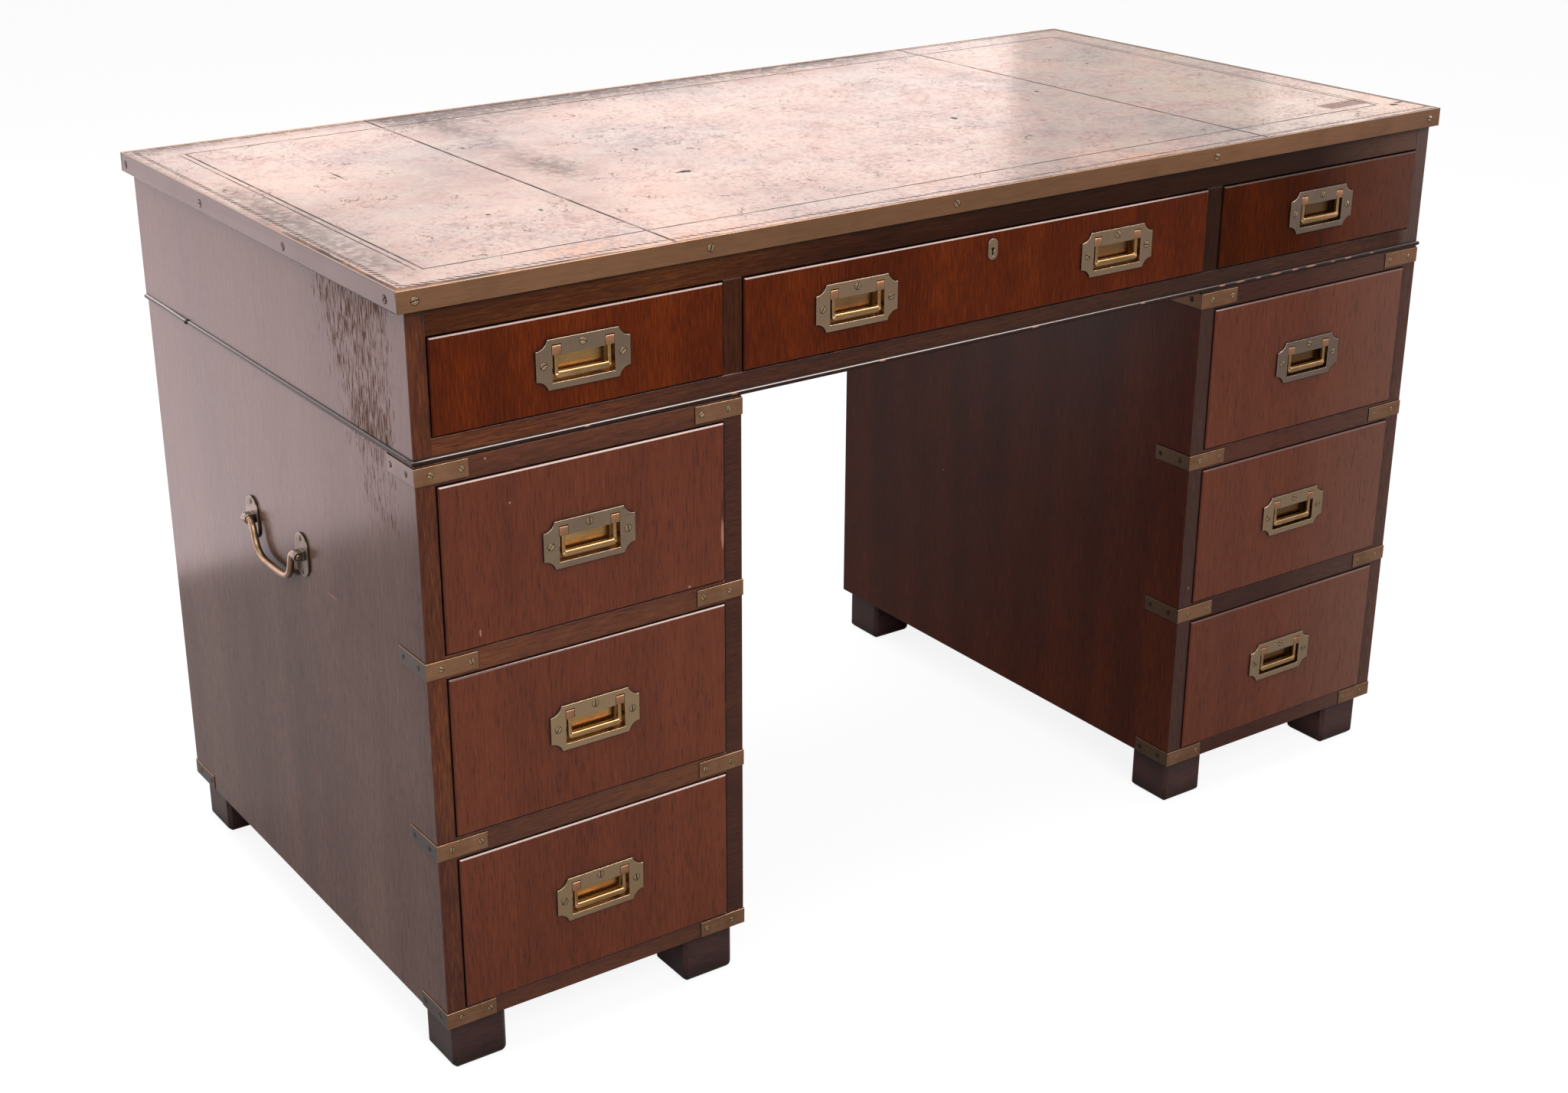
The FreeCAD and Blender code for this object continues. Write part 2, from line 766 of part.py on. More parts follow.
def scooped_outline(sketch):
    """A plate outline whose four corners are scooped by circles."""
    half = number("plate_half")
    top = number("plate_top")
    shoulder = number("plate_shoulder")
    cheek = number("plate_cheek")
    level = number("scoop_level")
    radius = number("scoop_radius")
    lines = [
        ((-shoulder, -top), (shoulder, -top)),
        ((half, -cheek), (half, cheek)),
        ((shoulder, top), (-shoulder, top)),
        ((-half, cheek), (-half, -cheek)),
    ]
    for start, end in lines:
        sketch.addGeometry(Part.LineSegment(Vector(*start, 0), Vector(*end, 0)), False)
    centres = [(1, -1), (1, 1), (-1, 1), (-1, -1)]
    for index, (across, up) in enumerate(centres):
        centre = Vector(across * half, up * level, 0)
        start = Vector(lines[index][1][0], lines[index][1][1], 0) - centre
        end_line = lines[(index + 1) % 4]
        end = Vector(end_line[0][0], end_line[0][1], 0) - centre
        turn = Part.Circle(centre, Vector(0, 0, 1), radius)
        first = turn.parameter(centre + end)
        last = turn.parameter(centre + start)
        if last < first:
            last += 2 * math.pi
        arc = sketch.addGeometry(Part.ArcOfCircle(turn, first, last), False)
        sketch.addConstraint(Sketcher.Constraint("Coincident", arc, 2, index, 2))
        sketch.addConstraint(Sketcher.Constraint("Coincident", arc, 1, (index + 1) % 4, 1))
        x = "plate_half" if across > 0 else "-plate_half"
        y = "scoop_level" if up > 0 else "-scoop_level"
        pin_point(sketch, arc, 3, x, y)
        held = sketch.addConstraint(Sketcher.Constraint("Radius", arc, radius))
        sketch.setExpression(f"Constraints[{held}]", ex("scoop_radius"))
    for index, (kind, row) in enumerate((
        ("DistanceY", "-plate_top"), ("DistanceX", "plate_half"),
        ("DistanceY", "plate_top"), ("DistanceX", "-plate_half"),
    )):
        level_kind = "Horizontal" if kind == "DistanceY" else "Vertical"
        sketch.addConstraint(Sketcher.Constraint(level_kind, index))
        held = sketch.addConstraint(Sketcher.Constraint(kind, -1, 1, index, 1, number(row)))
        sketch.setExpression(f"Constraints[{held}]", ex(row))


scooped_outline(plate_sketch)
pad(pull_body, plate_sketch, "plate", "plate_thick")
doc.recompute()
pan_sketch = sketch_on(pull_body, "XZ_Plane", "pan_outline")
rectangle(pan_sketch, "-pan_half", "pan_half", "-pan_low", "pan_top")
pad(pull_body, pan_sketch, "pan", "pan_back", reverse=True)
window_sketch = sketch_on(pull_body, "XZ_Plane", "window_outline", "plate_thick")
outline(window_sketch, [
    ("-window_half", "-window_low"),
    ("window_half", "-window_low"),
    ("window_half", "notch_top"),
    ("notch_near", "notch_top"),
    ("notch_near", "window_top"),
    ("-notch_near", "window_top"),
    ("-notch_near", "notch_top"),
    ("-window_half", "notch_top"),
])
pocket(pull_body, window_sketch, "window", "pan_depth")

# Each of the pan's outer walls is slotted from behind for a pin of the bail.
size("slot_front", "=pin_back - pin_radius - pin_clear")
size("slot_low", "=pin_level - pin_radius - pin_clear")
size("slot_high", "=pin_level + pin_radius + pin_clear")
doc.recompute()
for side, name in ((-1, "left"), (1, "right")):
    slot_sketch = sketch_on(pull_body, "YZ_Plane", f"{name}_slot_outline", f"{side} * pan_half")
    rectangle(slot_sketch, "slot_front", "pan_back", "slot_low", "slot_high")
    slot_cut = pocket(pull_body, slot_sketch, f"{name}_slot", "pan_wall")
    slot_cut.Reversed = side < 0

# The bail: a bevelled bar, two arms and two square lugs, each with a round pin on its outer side.
bar_body = new_body("bail_bar")
size("bar_reach", "=lug_middle + arm_width / 2")
size("bar_start", "=-bar_reach")
size("bar_front", "=pin_back - bar_side / 2")
size("bar_rear", "=pin_back + bar_side / 2")
size("bar_low", "=pin_level - bar_drop - bar_side / 2")
size("bar_high", "=pin_level - bar_drop + bar_side / 2")
doc.recompute()
bar_sketch = sketch_on(bar_body, "YZ_Plane", "bar_outline", "bar_start")
rectangle(bar_sketch, "bar_front", "bar_rear", "bar_low", "bar_high")
pad(bar_body, bar_sketch, "bar", "2 * bar_reach")
doc.recompute()
long_edges = edges_where(bar_body.Shape, lambda p: True)
long_edges = [
    name for name in long_edges
    if bar_body.Shape.getElement(name).BoundBox.XLength > number("bar_reach")
]
soften(bar_body, "Chamfer", "bar_bevels", long_edges, "bar_bevel")
bail_pieces = [bar_body]
for side, name in ((-1, "left"), (1, "right")):
    pin_start = "lug_middle" if side > 0 else "pan_clear - pan_half"
    bail_pieces.append(rod(
        f"{name}_pin", "pin_radius", "pan_half - pan_clear - lug_middle",
        "x", pin_start, "pin_back", "pin_level"))
    bail_pieces.append(block(
        f"{name}_arm",
        side_span(side, "lug_middle - arm_width / 2", "lug_middle + arm_width / 2"),
        ("pin_back - arm_depth / 2", "pin_back + arm_depth / 2"),
        ("pin_level - bar_drop", "pin_level"),
    ))
    lug = new_body(f"{name}_lug")
    lug_sketch = sketch_on(lug, "YZ_Plane", f"{name}_lug_outline", f"{side} * lug_middle - lug_width / 2")
    size_names = {
        "front": "=-plate_thick - lug_proud",
        "bevel_front": "=-plate_thick - lug_proud + lug_round",
        "rear": "=lug_depth - plate_thick - lug_proud",
        "bevel_rear": "=lug_depth - plate_thick - lug_proud - lug_round",
        "top": "=pin_level + lug_above",
        "bevel_top": "=pin_level + lug_above - lug_round",
    }
    if side < 0:
        for key, formula in size_names.items():
            size(f"lug_{key}", formula)
        doc.recompute()
    outline(lug_sketch, [
        ("lug_front", "window_top"),
        ("lug_rear", "window_top"),
        ("lug_rear", "lug_bevel_top"),
        ("lug_bevel_rear", "lug_top"),
        ("lug_bevel_front", "lug_top"),
        ("lug_front", "lug_bevel_top"),
    ])
    pad(lug, lug_sketch, f"{name}_lug_block", "lug_width")
    bail_pieces.append(lug)
bail = join("bail", bail_pieces)

drawers = []
for side, name in ((-1, "left"), (1, "right")):
    x = "bay_middle" if side > 0 else "-bay_middle"
    for tier in (1, 2, 3):
        z = f"case_low + bottom_board + {3 - tier} * pitch"
        drawers.append((f"{name}_drawer_{tier}", "pedestal", x, "case_front + front_set", z))
frieze_x = "(frieze_inner + divider_far) / 2"
for name, kind, x in (
    ("frieze_left_drawer", "side", f"-{frieze_x}"),
    ("frieze_centre_drawer", "centre", "0"),
    ("frieze_right_drawer", "side", frieze_x),
):
    drawers.append((name, kind, x, "frieze_front + front_set", "frieze_floor"))

for name, kind, x, y, z in drawers:
    front, box = masters[kind]
    node(f"{name}_front", [front], x, y, z)
    node(f"{name}_box", box, x, y, z)
    for index, place in enumerate(kinds[kind][4]):
        hand = "" if kind != "centre" else ("_left", "_right")[index]
        seat = (f"{x} + {place}", f"{y} - front_thick", f"{z} + {kind}_pull_level")
        node(f"{name}_pull{hand}", [pull_body], *seat)
        node(f"{name}_bail{hand}", [bail], *seat)

# ---------------------------------------------------------------- lock

key_plate = new_body("key_plate")
size("key_half", "=key_plate_width / 2")
size("key_straight", "=(key_plate_height - key_plate_width) / 2")
doc.recompute()


def upright_oval(sketch, half, straight):
    """An outline with two straight upright sides and two half-round ends."""
    across = number(half)
    up = number(straight)
    right = sketch.addGeometry(Part.LineSegment(Vector(across, -up, 0), Vector(across, up, 0)), False)
    circle_top = Part.Circle(Vector(0, up, 0), Vector(0, 0, 1), across)
    top = sketch.addGeometry(Part.ArcOfCircle(circle_top, 0, math.pi), False)
    left = sketch.addGeometry(Part.LineSegment(Vector(-across, up, 0), Vector(-across, -up, 0)), False)
    circle_low = Part.Circle(Vector(0, -up, 0), Vector(0, 0, 1), across)
    low = sketch.addGeometry(Part.ArcOfCircle(circle_low, math.pi, 2 * math.pi), False)
    for first, second in ((right, top), (top, left), (left, low), (low, right)):
        sketch.addConstraint(Sketcher.Constraint("Tangent", first, 2, second, 1))
    pin_point(sketch, top, 3, "0", straight)
    pin_point(sketch, low, 3, "0", f"-{straight}")
    sketch.addConstraint(Sketcher.Constraint("Vertical", right))
    held = sketch.addConstraint(Sketcher.Constraint("DistanceX", -1, 1, right, 1, across))
    sketch.setExpression(f"Constraints[{held}]", ex(half))


key_sketch = sketch_on(key_plate, "XZ_Plane", "key_plate_outline")
upright_oval(key_sketch, "key_half", "key_straight")
pad(key_plate, key_sketch, "key_plate_disc", "key_plate_thick")
eye_sketch = sketch_on(key_plate, "XZ_Plane", "key_eye", "key_plate_thick")
circle(eye_sketch, "0", "0", "key_radius")
pocket(key_plate, eye_sketch, "key_eye_cut", "key_plate_thick")
slot_sketch = sketch_on(key_plate, "XZ_Plane", "key_slot_outline", "key_plate_thick")
rectangle(slot_sketch, "-key_slot_half", "key_slot_half", "-key_length", "0")
pocket(key_plate, slot_sketch, "key_slot_cut", "key_plate_thick")
key_seat = at(group("key_seat", [key_plate]), "0", "-front_thick", "key_level")

lock_case = block(
    "lock_case_block",
    ("-lock_half", "lock_half"),
    ("-lock_depth", "0"),
    ("lock_low", "centre_front_top"),
)
bolt_y = ("-bolt_clear - bolt_cover - bolt_thick", "-bolt_clear - bolt_cover")
bolt_top = "centre_front_top"
bolt_space = block(
    "bolt_space",
    ("-bolt_width / 2 - bolt_clear", "bolt_width / 2 + bolt_clear"),
    ("-2 * bolt_clear - bolt_cover - bolt_thick", "-bolt_cover"),
    (f"{bolt_top} - bolt_length - bolt_clear", bolt_top),
)
centre_y = "frieze_front + front_set"
node("lock", [cut("lock_case", lock_case, bolt_space), key_seat], "0", centre_y, "frieze_floor")
bolt = block(
    "bolt_tongue",
    ("-bolt_width / 2", "bolt_width / 2"),
    bolt_y,
    (f"{bolt_top} - bolt_length", bolt_top),
)
node("lock_bolt", [bolt], "0", centre_y, "frieze_floor")

# ---------------------------------------------------------------- carrying handles

# The plates face outwards along -X for the left pedestal and are turned for the right.
oval = new_body("oval_plate")
oval_sketch = sketch_on(oval, "YZ_Plane", "oval_outline")
upright_oval(oval_sketch, "oval_half", "oval_straight")
pad(oval, oval_sketch, "oval_disc", "oval_thick", reverse=True)

# An ear with a round end stands on each plate and is bored for the grip's pivot.
ear_root = block("ear_root", ("-pivot_out", "0"), ("-ear_radius", "ear_radius"),
                 ("-ear_radius", "ear_radius"))
ear_end = rod("ear_end", "ear_radius", "2 * ear_radius", "y", "-pivot_out", "-ear_radius", "0")
bore = rod("ear_bore", "pivot_radius + pivot_clear", "4 * ear_radius", "y",
           "-pivot_out", "-2 * ear_radius", "0")
ear_plate = cut("ear_plate", join("ear_solid", [oval, ear_root, ear_end]), bore)


def turned(name, thing, side):
    """A copy that faces left (-1) or right (1)."""
    held = group(name, [thing])
    if side > 0:
        held.Placement.Rotation = FreeCAD.Rotation(Vector(0, 0, 1), 180)
    return held


# The grip is a square bar: collar, neck, arm, bend, bottom, and the same again the other way.
size("neck_end", "=handle_span / 2 - ear_radius - grip_clear")
size("collar_end", "=neck_end - grip_collar")
size("grip_half", "=collar_end - grip_neck")
size("arm_top", "=-grip_neck")
size("bend_top", "=grip_bend - grip_drop")
size("grip_low", "=-grip_drop")
size("bottom_half", "=grip_half - grip_bend")
size("pivot_end", "=handle_span / 2 + ear_radius + pivot_proud")
doc.recompute()
grip_path = doc.addObject("Sketcher::SketchObject", "grip_path")
grip_path.Placement.Rotation = FreeCAD.Rotation(Vector(1, 1, 1), 120)


def straight_runs(sketch, corners):
    """Joined straight lines through named corners, as the first and last line's numbers."""
    points = [Vector(number(x), number(y), 0) for x, y in corners]
    first = len(sketch.Geometry)
    for start, end in zip(points, points[1:]):
        sketch.addGeometry(Part.LineSegment(start, end), False)
    last = len(sketch.Geometry) - 1
    for index in range(first, last):
        sketch.addConstraint(Sketcher.Constraint("Coincident", index, 2, index + 1, 1))
    for index, (x, y) in enumerate(corners[:-1]):
        pin_point(sketch, first + index, 1, x, y)
    pin_point(sketch, last, 2, *corners[-1])
    return first, last


def corner_arc(sketch, side, before, after):
    """An arc between the end of one line and the start of the next, round a lower corner."""
    centre = Vector(side * number("bottom_half"), number("bend_top"), 0)
    turn = Part.Circle(centre, Vector(0, 0, 1), number("grip_bend"))
    quarter = math.pi / 2
    first = -quarter if side > 0 else 2 * quarter
    arc = sketch.addGeometry(Part.ArcOfCircle(turn, first, first + quarter), False)
    ends = (2, 1) if side > 0 else (1, 2)
    sketch.addConstraint(Sketcher.Constraint("Coincident", arc, ends[0], before[0], before[1]))
    sketch.addConstraint(Sketcher.Constraint("Coincident", arc, ends[1], after[0], after[1]))
    held = sketch.addConstraint(Sketcher.Constraint("Radius", arc, number("grip_bend")))
    sketch.setExpression(f"Constraints[{held}]", ex("grip_bend"))


right_run = straight_runs(grip_path, [
    ("neck_end", "0"), ("collar_end", "0"), ("grip_half", "arm_top"), ("grip_half", "bend_top")])
bottom_run = straight_runs(grip_path, [("bottom_half", "grip_low"), ("-bottom_half", "grip_low")])
left_run = straight_runs(grip_path, [
    ("-grip_half", "bend_top"), ("-grip_half", "arm_top"), ("-collar_end", "0"), ("-neck_end", "0")])
corner_arc(grip_path, 1, (right_run[1], 2), (bottom_run[0], 1))
corner_arc(grip_path, -1, (left_run[0], 1), (bottom_run[0], 2))

grip_section = doc.addObject("Part::RegularPolygon", "grip_section")
grip_section.Polygon = 4
grip_section.setExpression("Circumradius", ex("grip_side / sqrt(2)"))
across_y = FreeCAD.Rotation(Vector(1, 0, 0), 90)
grip_section.Placement.Rotation = across_y.multiply(FreeCAD.Rotation(Vector(0, 0, 1), 45))
at(grip_section, "0", "neck_end", "0")
grip_sweep = doc.addObject("Part::Sweep", "grip_sweep")
grip_sweep.Sections = [grip_section]
grip_sweep.Spine = (grip_path, [])
grip_sweep.Solid = True
grip_sweep.Frenet = False
grip_sweep.Transition = "Right corner"
front_pivot = rod("front_pivot", "pivot_radius", "pivot_end - neck_end", "y", "0", "-pivot_end", "0")
rear_pivot = rod("rear_pivot", "pivot_radius", "pivot_end - neck_end", "y", "0", "neck_end", "0")
grip = join("grip", [grip_sweep, front_pivot, rear_pivot])

for side, name in ((-1, "left"), (1, "right")):
    face = f"{side} * frieze_half"
    plates = []
    for end in (-1, 1):
        plate = turned(f"{name}_oval_{'back' if end > 0 else 'front'}", ear_plate, side)
        plates.append(at(plate, "0", f"{end} * handle_span / 2"))
    node(f"{name}_handle_plates", plates, face, "handle_centre", "handle_level")
    node(f"{name}_handle_grip", [grip], f"{face} + {side} * pivot_out", "handle_centre", "handle_level")

# ---------------------------------------------------------------- build and write

doc.recompute()
for item in doc.Objects:
    bad = [word for word in item.State if word in ("Invalid", "Error")]
    if bad:
        raise RuntimeError(f"{item.Name}: {bad}")
os.makedirs("parts", exist_ok=True)
for part in nodes:
    shape = part.Shape
    if shape.isNull() or not shape.isValid():
        raise RuntimeError(f"{part.Label} has no valid shape")
    shape.exportStep(f"parts/{part.Label}.step")
    print(part.Label, len(shape.Solids), round(shape.Volume / 1000, 1))
print(len(nodes), "nodes")
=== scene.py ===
# %% Start: the frame from the CAD
import math
import bpy
import bmesh
import numpy as np
from mathutils import Matrix, Vector


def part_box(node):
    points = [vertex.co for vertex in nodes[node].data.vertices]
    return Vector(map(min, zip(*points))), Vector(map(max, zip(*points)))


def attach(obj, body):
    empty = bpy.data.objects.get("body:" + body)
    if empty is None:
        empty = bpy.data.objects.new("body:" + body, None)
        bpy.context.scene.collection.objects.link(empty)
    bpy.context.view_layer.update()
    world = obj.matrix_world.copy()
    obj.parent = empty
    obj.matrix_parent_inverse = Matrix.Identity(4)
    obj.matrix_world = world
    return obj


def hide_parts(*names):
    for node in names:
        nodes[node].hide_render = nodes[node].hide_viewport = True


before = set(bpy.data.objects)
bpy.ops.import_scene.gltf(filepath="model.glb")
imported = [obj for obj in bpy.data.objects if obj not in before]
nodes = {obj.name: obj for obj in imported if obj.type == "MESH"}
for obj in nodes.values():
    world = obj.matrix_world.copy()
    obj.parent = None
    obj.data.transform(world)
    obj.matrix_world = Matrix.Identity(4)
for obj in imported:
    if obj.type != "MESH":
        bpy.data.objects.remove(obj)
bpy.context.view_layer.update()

# %% [markdown]
# A campaign desk is officer's furniture: a mahogany desk that comes apart into a frieze and two
# pedestals, with nothing standing proud that could be knocked off in a cart. Its corners are
# bound in brass and its pulls are sunk into the drawer fronts. The boards, plates and drawers
# come from the CAD and keep their shape. What a joiner would leave to the finisher is made here:
# the polish, the worn leather, the rounded bead, the cast bails and grips, and the slotted screws.
#
# Every length of the desk is in millimetres below, as on a drawing, and is turned to metres where
# it is used. The studio's lengths are in metres.

# %% Helpers: millimetres, colours, nodes
MM = 0.001


def linear(code):
    """Linear colour from an sRGB hex code: c / 12.92 when dark, else ((c + 0.055) / 1.055) ** 2.4."""
    channels = [int(code[place:place + 2], 16) / 255 for place in (1, 3, 5)]
    return [c / 12.92 if c <= 0.04045 else ((c + 0.055) / 1.055) ** 2.4 for c in channels] + [1.0]


def add(tree, kind, sockets=(), **settings):
    """Adds a node. Each socket is given a value, or a link from another node's output."""
    node = tree.nodes.new("ShaderNode" + kind)
    for key, value in settings.items():
        setattr(node, key, value)
    for key, value in dict(sockets).items():
        if isinstance(value, bpy.types.NodeSocket):
            tree.links.new(value, node.inputs[key])
        else:
            node.inputs[key].default_value = value
    return node


def tree_of(values):
    """The node tree that the links among some values come from."""
    return next(value.id_data for value in values if isinstance(value, bpy.types.NodeSocket))


def calc(operation, *values, clamp=False):
    """One Math node's result."""
    node = add(tree_of(values), "Math", dict(enumerate(values)), operation=operation, use_clamp=clamp)
    return node.outputs["Value"]


def remap(value, start, end, low=0.0, high=1.0):
    """A value's place between start and end, as a number from low to high, kept inside them."""
    return add(value.id_data, "MapRange", {"Value": value, "From Min": start, "From Max": end,
                                           "To Min": low, "To Max": high}).outputs["Result"]


def largest(first, *others):
    """The largest of several values."""
    for other in others:
        first = calc("MAXIMUM", first, other)
    return first


def mix(share, first, second):
    """(1 - share) * first + share * second, of two numbers."""
    tree = tree_of((share, first, second))
    return add(tree, "Mix", {"Factor": share, "A": first, "B": second}).outputs["Result"]


def overlay(share, under, over):
    """One colour laid over another by a share. Either may be a hex code."""
    under, over = (linear(tone) if isinstance(tone, str) else tone for tone in (under, over))
    return add(share.id_data, "Mix", {"Factor": share, "A": under, "B": over},
               data_type="RGBA").outputs["Result"]


def noise(place, scale, detail, roughness=0.5, distortion=0.0):
    """A noise with a number of waves per metre and of finer octaves."""
    return add(place.id_data, "TexNoise", {
        "Vector": place, "Scale": scale, "Detail": detail, "Roughness": roughness,
        "Distortion": distortion}).outputs["Fac"]


def vector(operation, *values, result="Vector"):
    """One VectorMath node's result."""
    node = add(tree_of(values), "VectorMath", dict(enumerate(values)), operation=operation)
    return node.outputs[result]


def scaled(place, sizes):
    """A place whose x, y and z are multiplied by three sizes."""
    return add(place.id_data, "Mapping", {"Vector": place, "Scale": sizes}).outputs["Vector"]


def new_material(name):
    """An empty material and its node tree."""
    material = bpy.data.materials.new(name)
    material.use_nodes = True
    material.node_tree.nodes.clear()
    return material, material.node_tree


def finish_material(material, surface):
    """Adds the output node and links a shader to it."""
    add(material.node_tree, "OutputMaterial", {"Surface": surface})
    print("material:", material.name, len(material.node_tree.nodes), "nodes")
    return material


def new_surface(name):
    """A new material for the desk: its tree, a point's place and its x, y and z, the face's normal."""
    material, tree = new_material(name)
    place = add(tree, "TexCoord").outputs["Object"]
    axes = add(tree, "SeparateXYZ", {"Vector": place}).outputs
    flat = add(tree, "NewGeometry").outputs["True Normal"]
    return material, tree, place, axes, flat


def finish_surface(material, sockets, strength, depth_mm, relief):
    """Ends a material of the desk: a bump from the relief's sockets, and a shader with the others."""
    tree = material.node_tree
    bump = add(tree, "Bump", {"Strength": strength, "Distance": depth_mm * MM, **relief}).outputs["Normal"]
    sockets["Normal"] = bump
    if "Coat Weight" in sockets:
        sockets.setdefault("Coat Normal", bump)
    return finish_material(material, add(tree, "BsdfPrincipled", sockets).outputs["BSDF"])


def ramp(factor, stops):
    """A colour ramp from (position, hex) stops."""
    node = add(factor.id_data, "ValToRGB", {"Fac": factor})
    while len(node.color_ramp.elements) < len(stops):
        node.color_ramp.elements.new(0.5)
    for element, (position, code) in zip(node.color_ramp.elements, stops):
        element.position = position
        element.color = linear(code)
    return node.outputs["Color"]


def mark(place, centre, reach, ragged):
    """1 inside a small oval at a centre (mm) with half sizes (mm), torn at its edge by a noise."""
    off = vector("SUBTRACT", place, [c * MM for c in centre])
    near = vector("DIVIDE", off, [r * MM for r in reach])
    away = vector("LENGTH", near, result="Value")
    torn = calc("MULTIPLY_ADD", ragged, 1.6, -0.8)
    return remap(calc("ADD", away, torn), 0.95, 0.65)


# %% [markdown]
# New pieces are surfaces computed with numpy: an array of points with two directions, joined
# into quads. A direction can close on itself, as round a bar. Several such arrays can make one
# piece, each with its own material. Rows that shrink to a point close the ends. Doubles are
# merged and the normals turned outwards once the whole shell is closed.

# %% Helper: a piece from arrays of points
def quads(rows, columns, round_rows, round_columns, first):
    """The four corners of every cell of a rows x columns array of points."""
    row = np.arange(rows if round_rows else rows - 1)
    column = np.arange(columns if round_columns else columns - 1)
    i, j = np.meshgrid(row, column, indexing="ij")
    k, m = (i + 1) % rows, (j + 1) % columns
    corners = [i * columns + j, k * columns + j, k * columns + m, i * columns + m]
    return first + np.stack([c.ravel() for c in corners], axis=1)


def piece(name, body, skins, materials, smooth=40):
    """A piece from skins: (points in mm, round rows?, round columns?, material number)."""
    points, faces, material_numbers = [], [], []
    start = 0
    for grid, round_rows, round_columns, number in skins:
        cells = quads(grid.shape[0], grid.shape[1], round_rows, round_columns, start)
        points.append(grid.reshape(-1, 3))
        faces.append(cells)
        material_numbers.append(np.full(len(cells), number))
        start += grid.shape[0] * grid.shape[1]
    mesh = bpy.data.meshes.new(name)
    mesh.from_pydata((np.concatenate(points) * MM).tolist(), [], np.concatenate(faces).tolist())
    mesh.polygons.foreach_set("material_index", np.concatenate(material_numbers).astype(np.int32))
    for material in materials:
        mesh.materials.append(material)
    shell = bmesh.new()
    shell.from_mesh(mesh)
    bmesh.ops.remove_doubles(shell, verts=shell.verts, dist=0.002 * MM)
    bmesh.ops.dissolve_degenerate(shell, edges=shell.edges, dist=0.001 * MM)
    bmesh.ops.recalc_face_normals(shell, faces=shell.faces)
    shell.to_mesh(mesh)
    shell.free()
    mesh.polygons.foreach_set("use_smooth", np.ones(len(mesh.polygons), dtype=bool))
    mesh.set_sharp_from_angle(angle=math.radians(smooth))
    made = bpy.data.objects.new(name, mesh)
    bpy.context.scene.collection.objects.link(made)
    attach(made, body)
    return made


# %% [markdown]
# Mahogany. The straight grain of the veneer shows as fine lines about 1 mm apart, dark pores a
# few millimetres long, and slow bands of lighter and darker wood 20 to 60 mm wide. All of them are
# noise that is stretched along the fibres. A shellac polish lies over it: a thin clear coat that
# is smooth but a little dulled by age, so that it mirrors a window as a soft patch.
#
# Where two surfaces meet, polish and dirt gather and the wood looks darker; that darkening is also
# painted shade. Where hands and boxes rub an edge, the stain is gone and the wood looks orange.
# Some tints and the outer sides' paler stain are painted reflection.

# %% Materials: mahogany in its directions
FIBRES = {"x": (1 / 14, 1, 1), "y": (1, 1 / 14, 1), "z": (1, 1, 1 / 14)}
# The figure's values at which a stain is dark, middle and light.
STAIN_STEPS = (0.36, 0.5, 0.63)
KNEEHOLE_HALF = 450


def fibres(place, along):
    """Three noises stretched along the fibres: bands 40 mm wide, lines 2 mm apart, and pores."""
    stretched = scaled(place, FIBRES[along])
    # Real lines are about 1 mm apart and pores 0.3 mm wide: both are drawn coarser, to show.
    return (noise(stretched, 25.0, 0.0), noise(stretched, 620.0, 3.0, 0.7),
            noise(stretched, 900.0, 1.0))


def stained(shade, stain):
    """The colour of stained wood, from its figure."""
    return ramp(shade, list(zip(STAIN_STEPS, stain)))


def tinted(colour, axes, tints):
    """Tones that grow along an axis: each is (axis, start and end in mm, share, colour). Some are painted
    reflection and painted shade, as said where they are given.
    """
    for axis, start, end, share, code in tints:
        along = remap(axes[axis], start * MM, end * MM, high=share)
        colour = overlay(along, colour, code)
    return colour


def near_middle(axes):
    """1 within the kneehole and on the two sides that face it."""
    return calc("LESS_THAN", calc("ABSOLUTE", axes["X"]), KNEEHOLE_HALF * MM)


def looks_sideways(normal, limit):
    """1 where a face looks left or right."""
    return calc("GREATER_THAN", calc("ABSOLUTE", normal["X"]), limit)


def corner_dirt_and_shade(tree, reach_mm, samples, start, end, share):
    """Dirt and painted shade in the inner corners: the share where little of the sky is seen, falling to
    0.
    """
    sky = add(tree, "AmbientOcclusion", {"Distance": reach_mm * MM}, samples=samples).outputs["AO"]
    return remap(sky, start, end, share, 0.0)


def rounded_edges(tree, flat, radius_mm, samples, start, end, share=1.0):
    """The rounded normal, and a share that grows as it turns away from the face's own."""
    rounded = add(tree, "Bevel", {"Radius": radius_mm * MM}, samples=samples).outputs["Normal"]
    turned = vector("DOT_PRODUCT", rounded, flat, result="Value")
    return rounded, remap(turned, start, end, high=share)


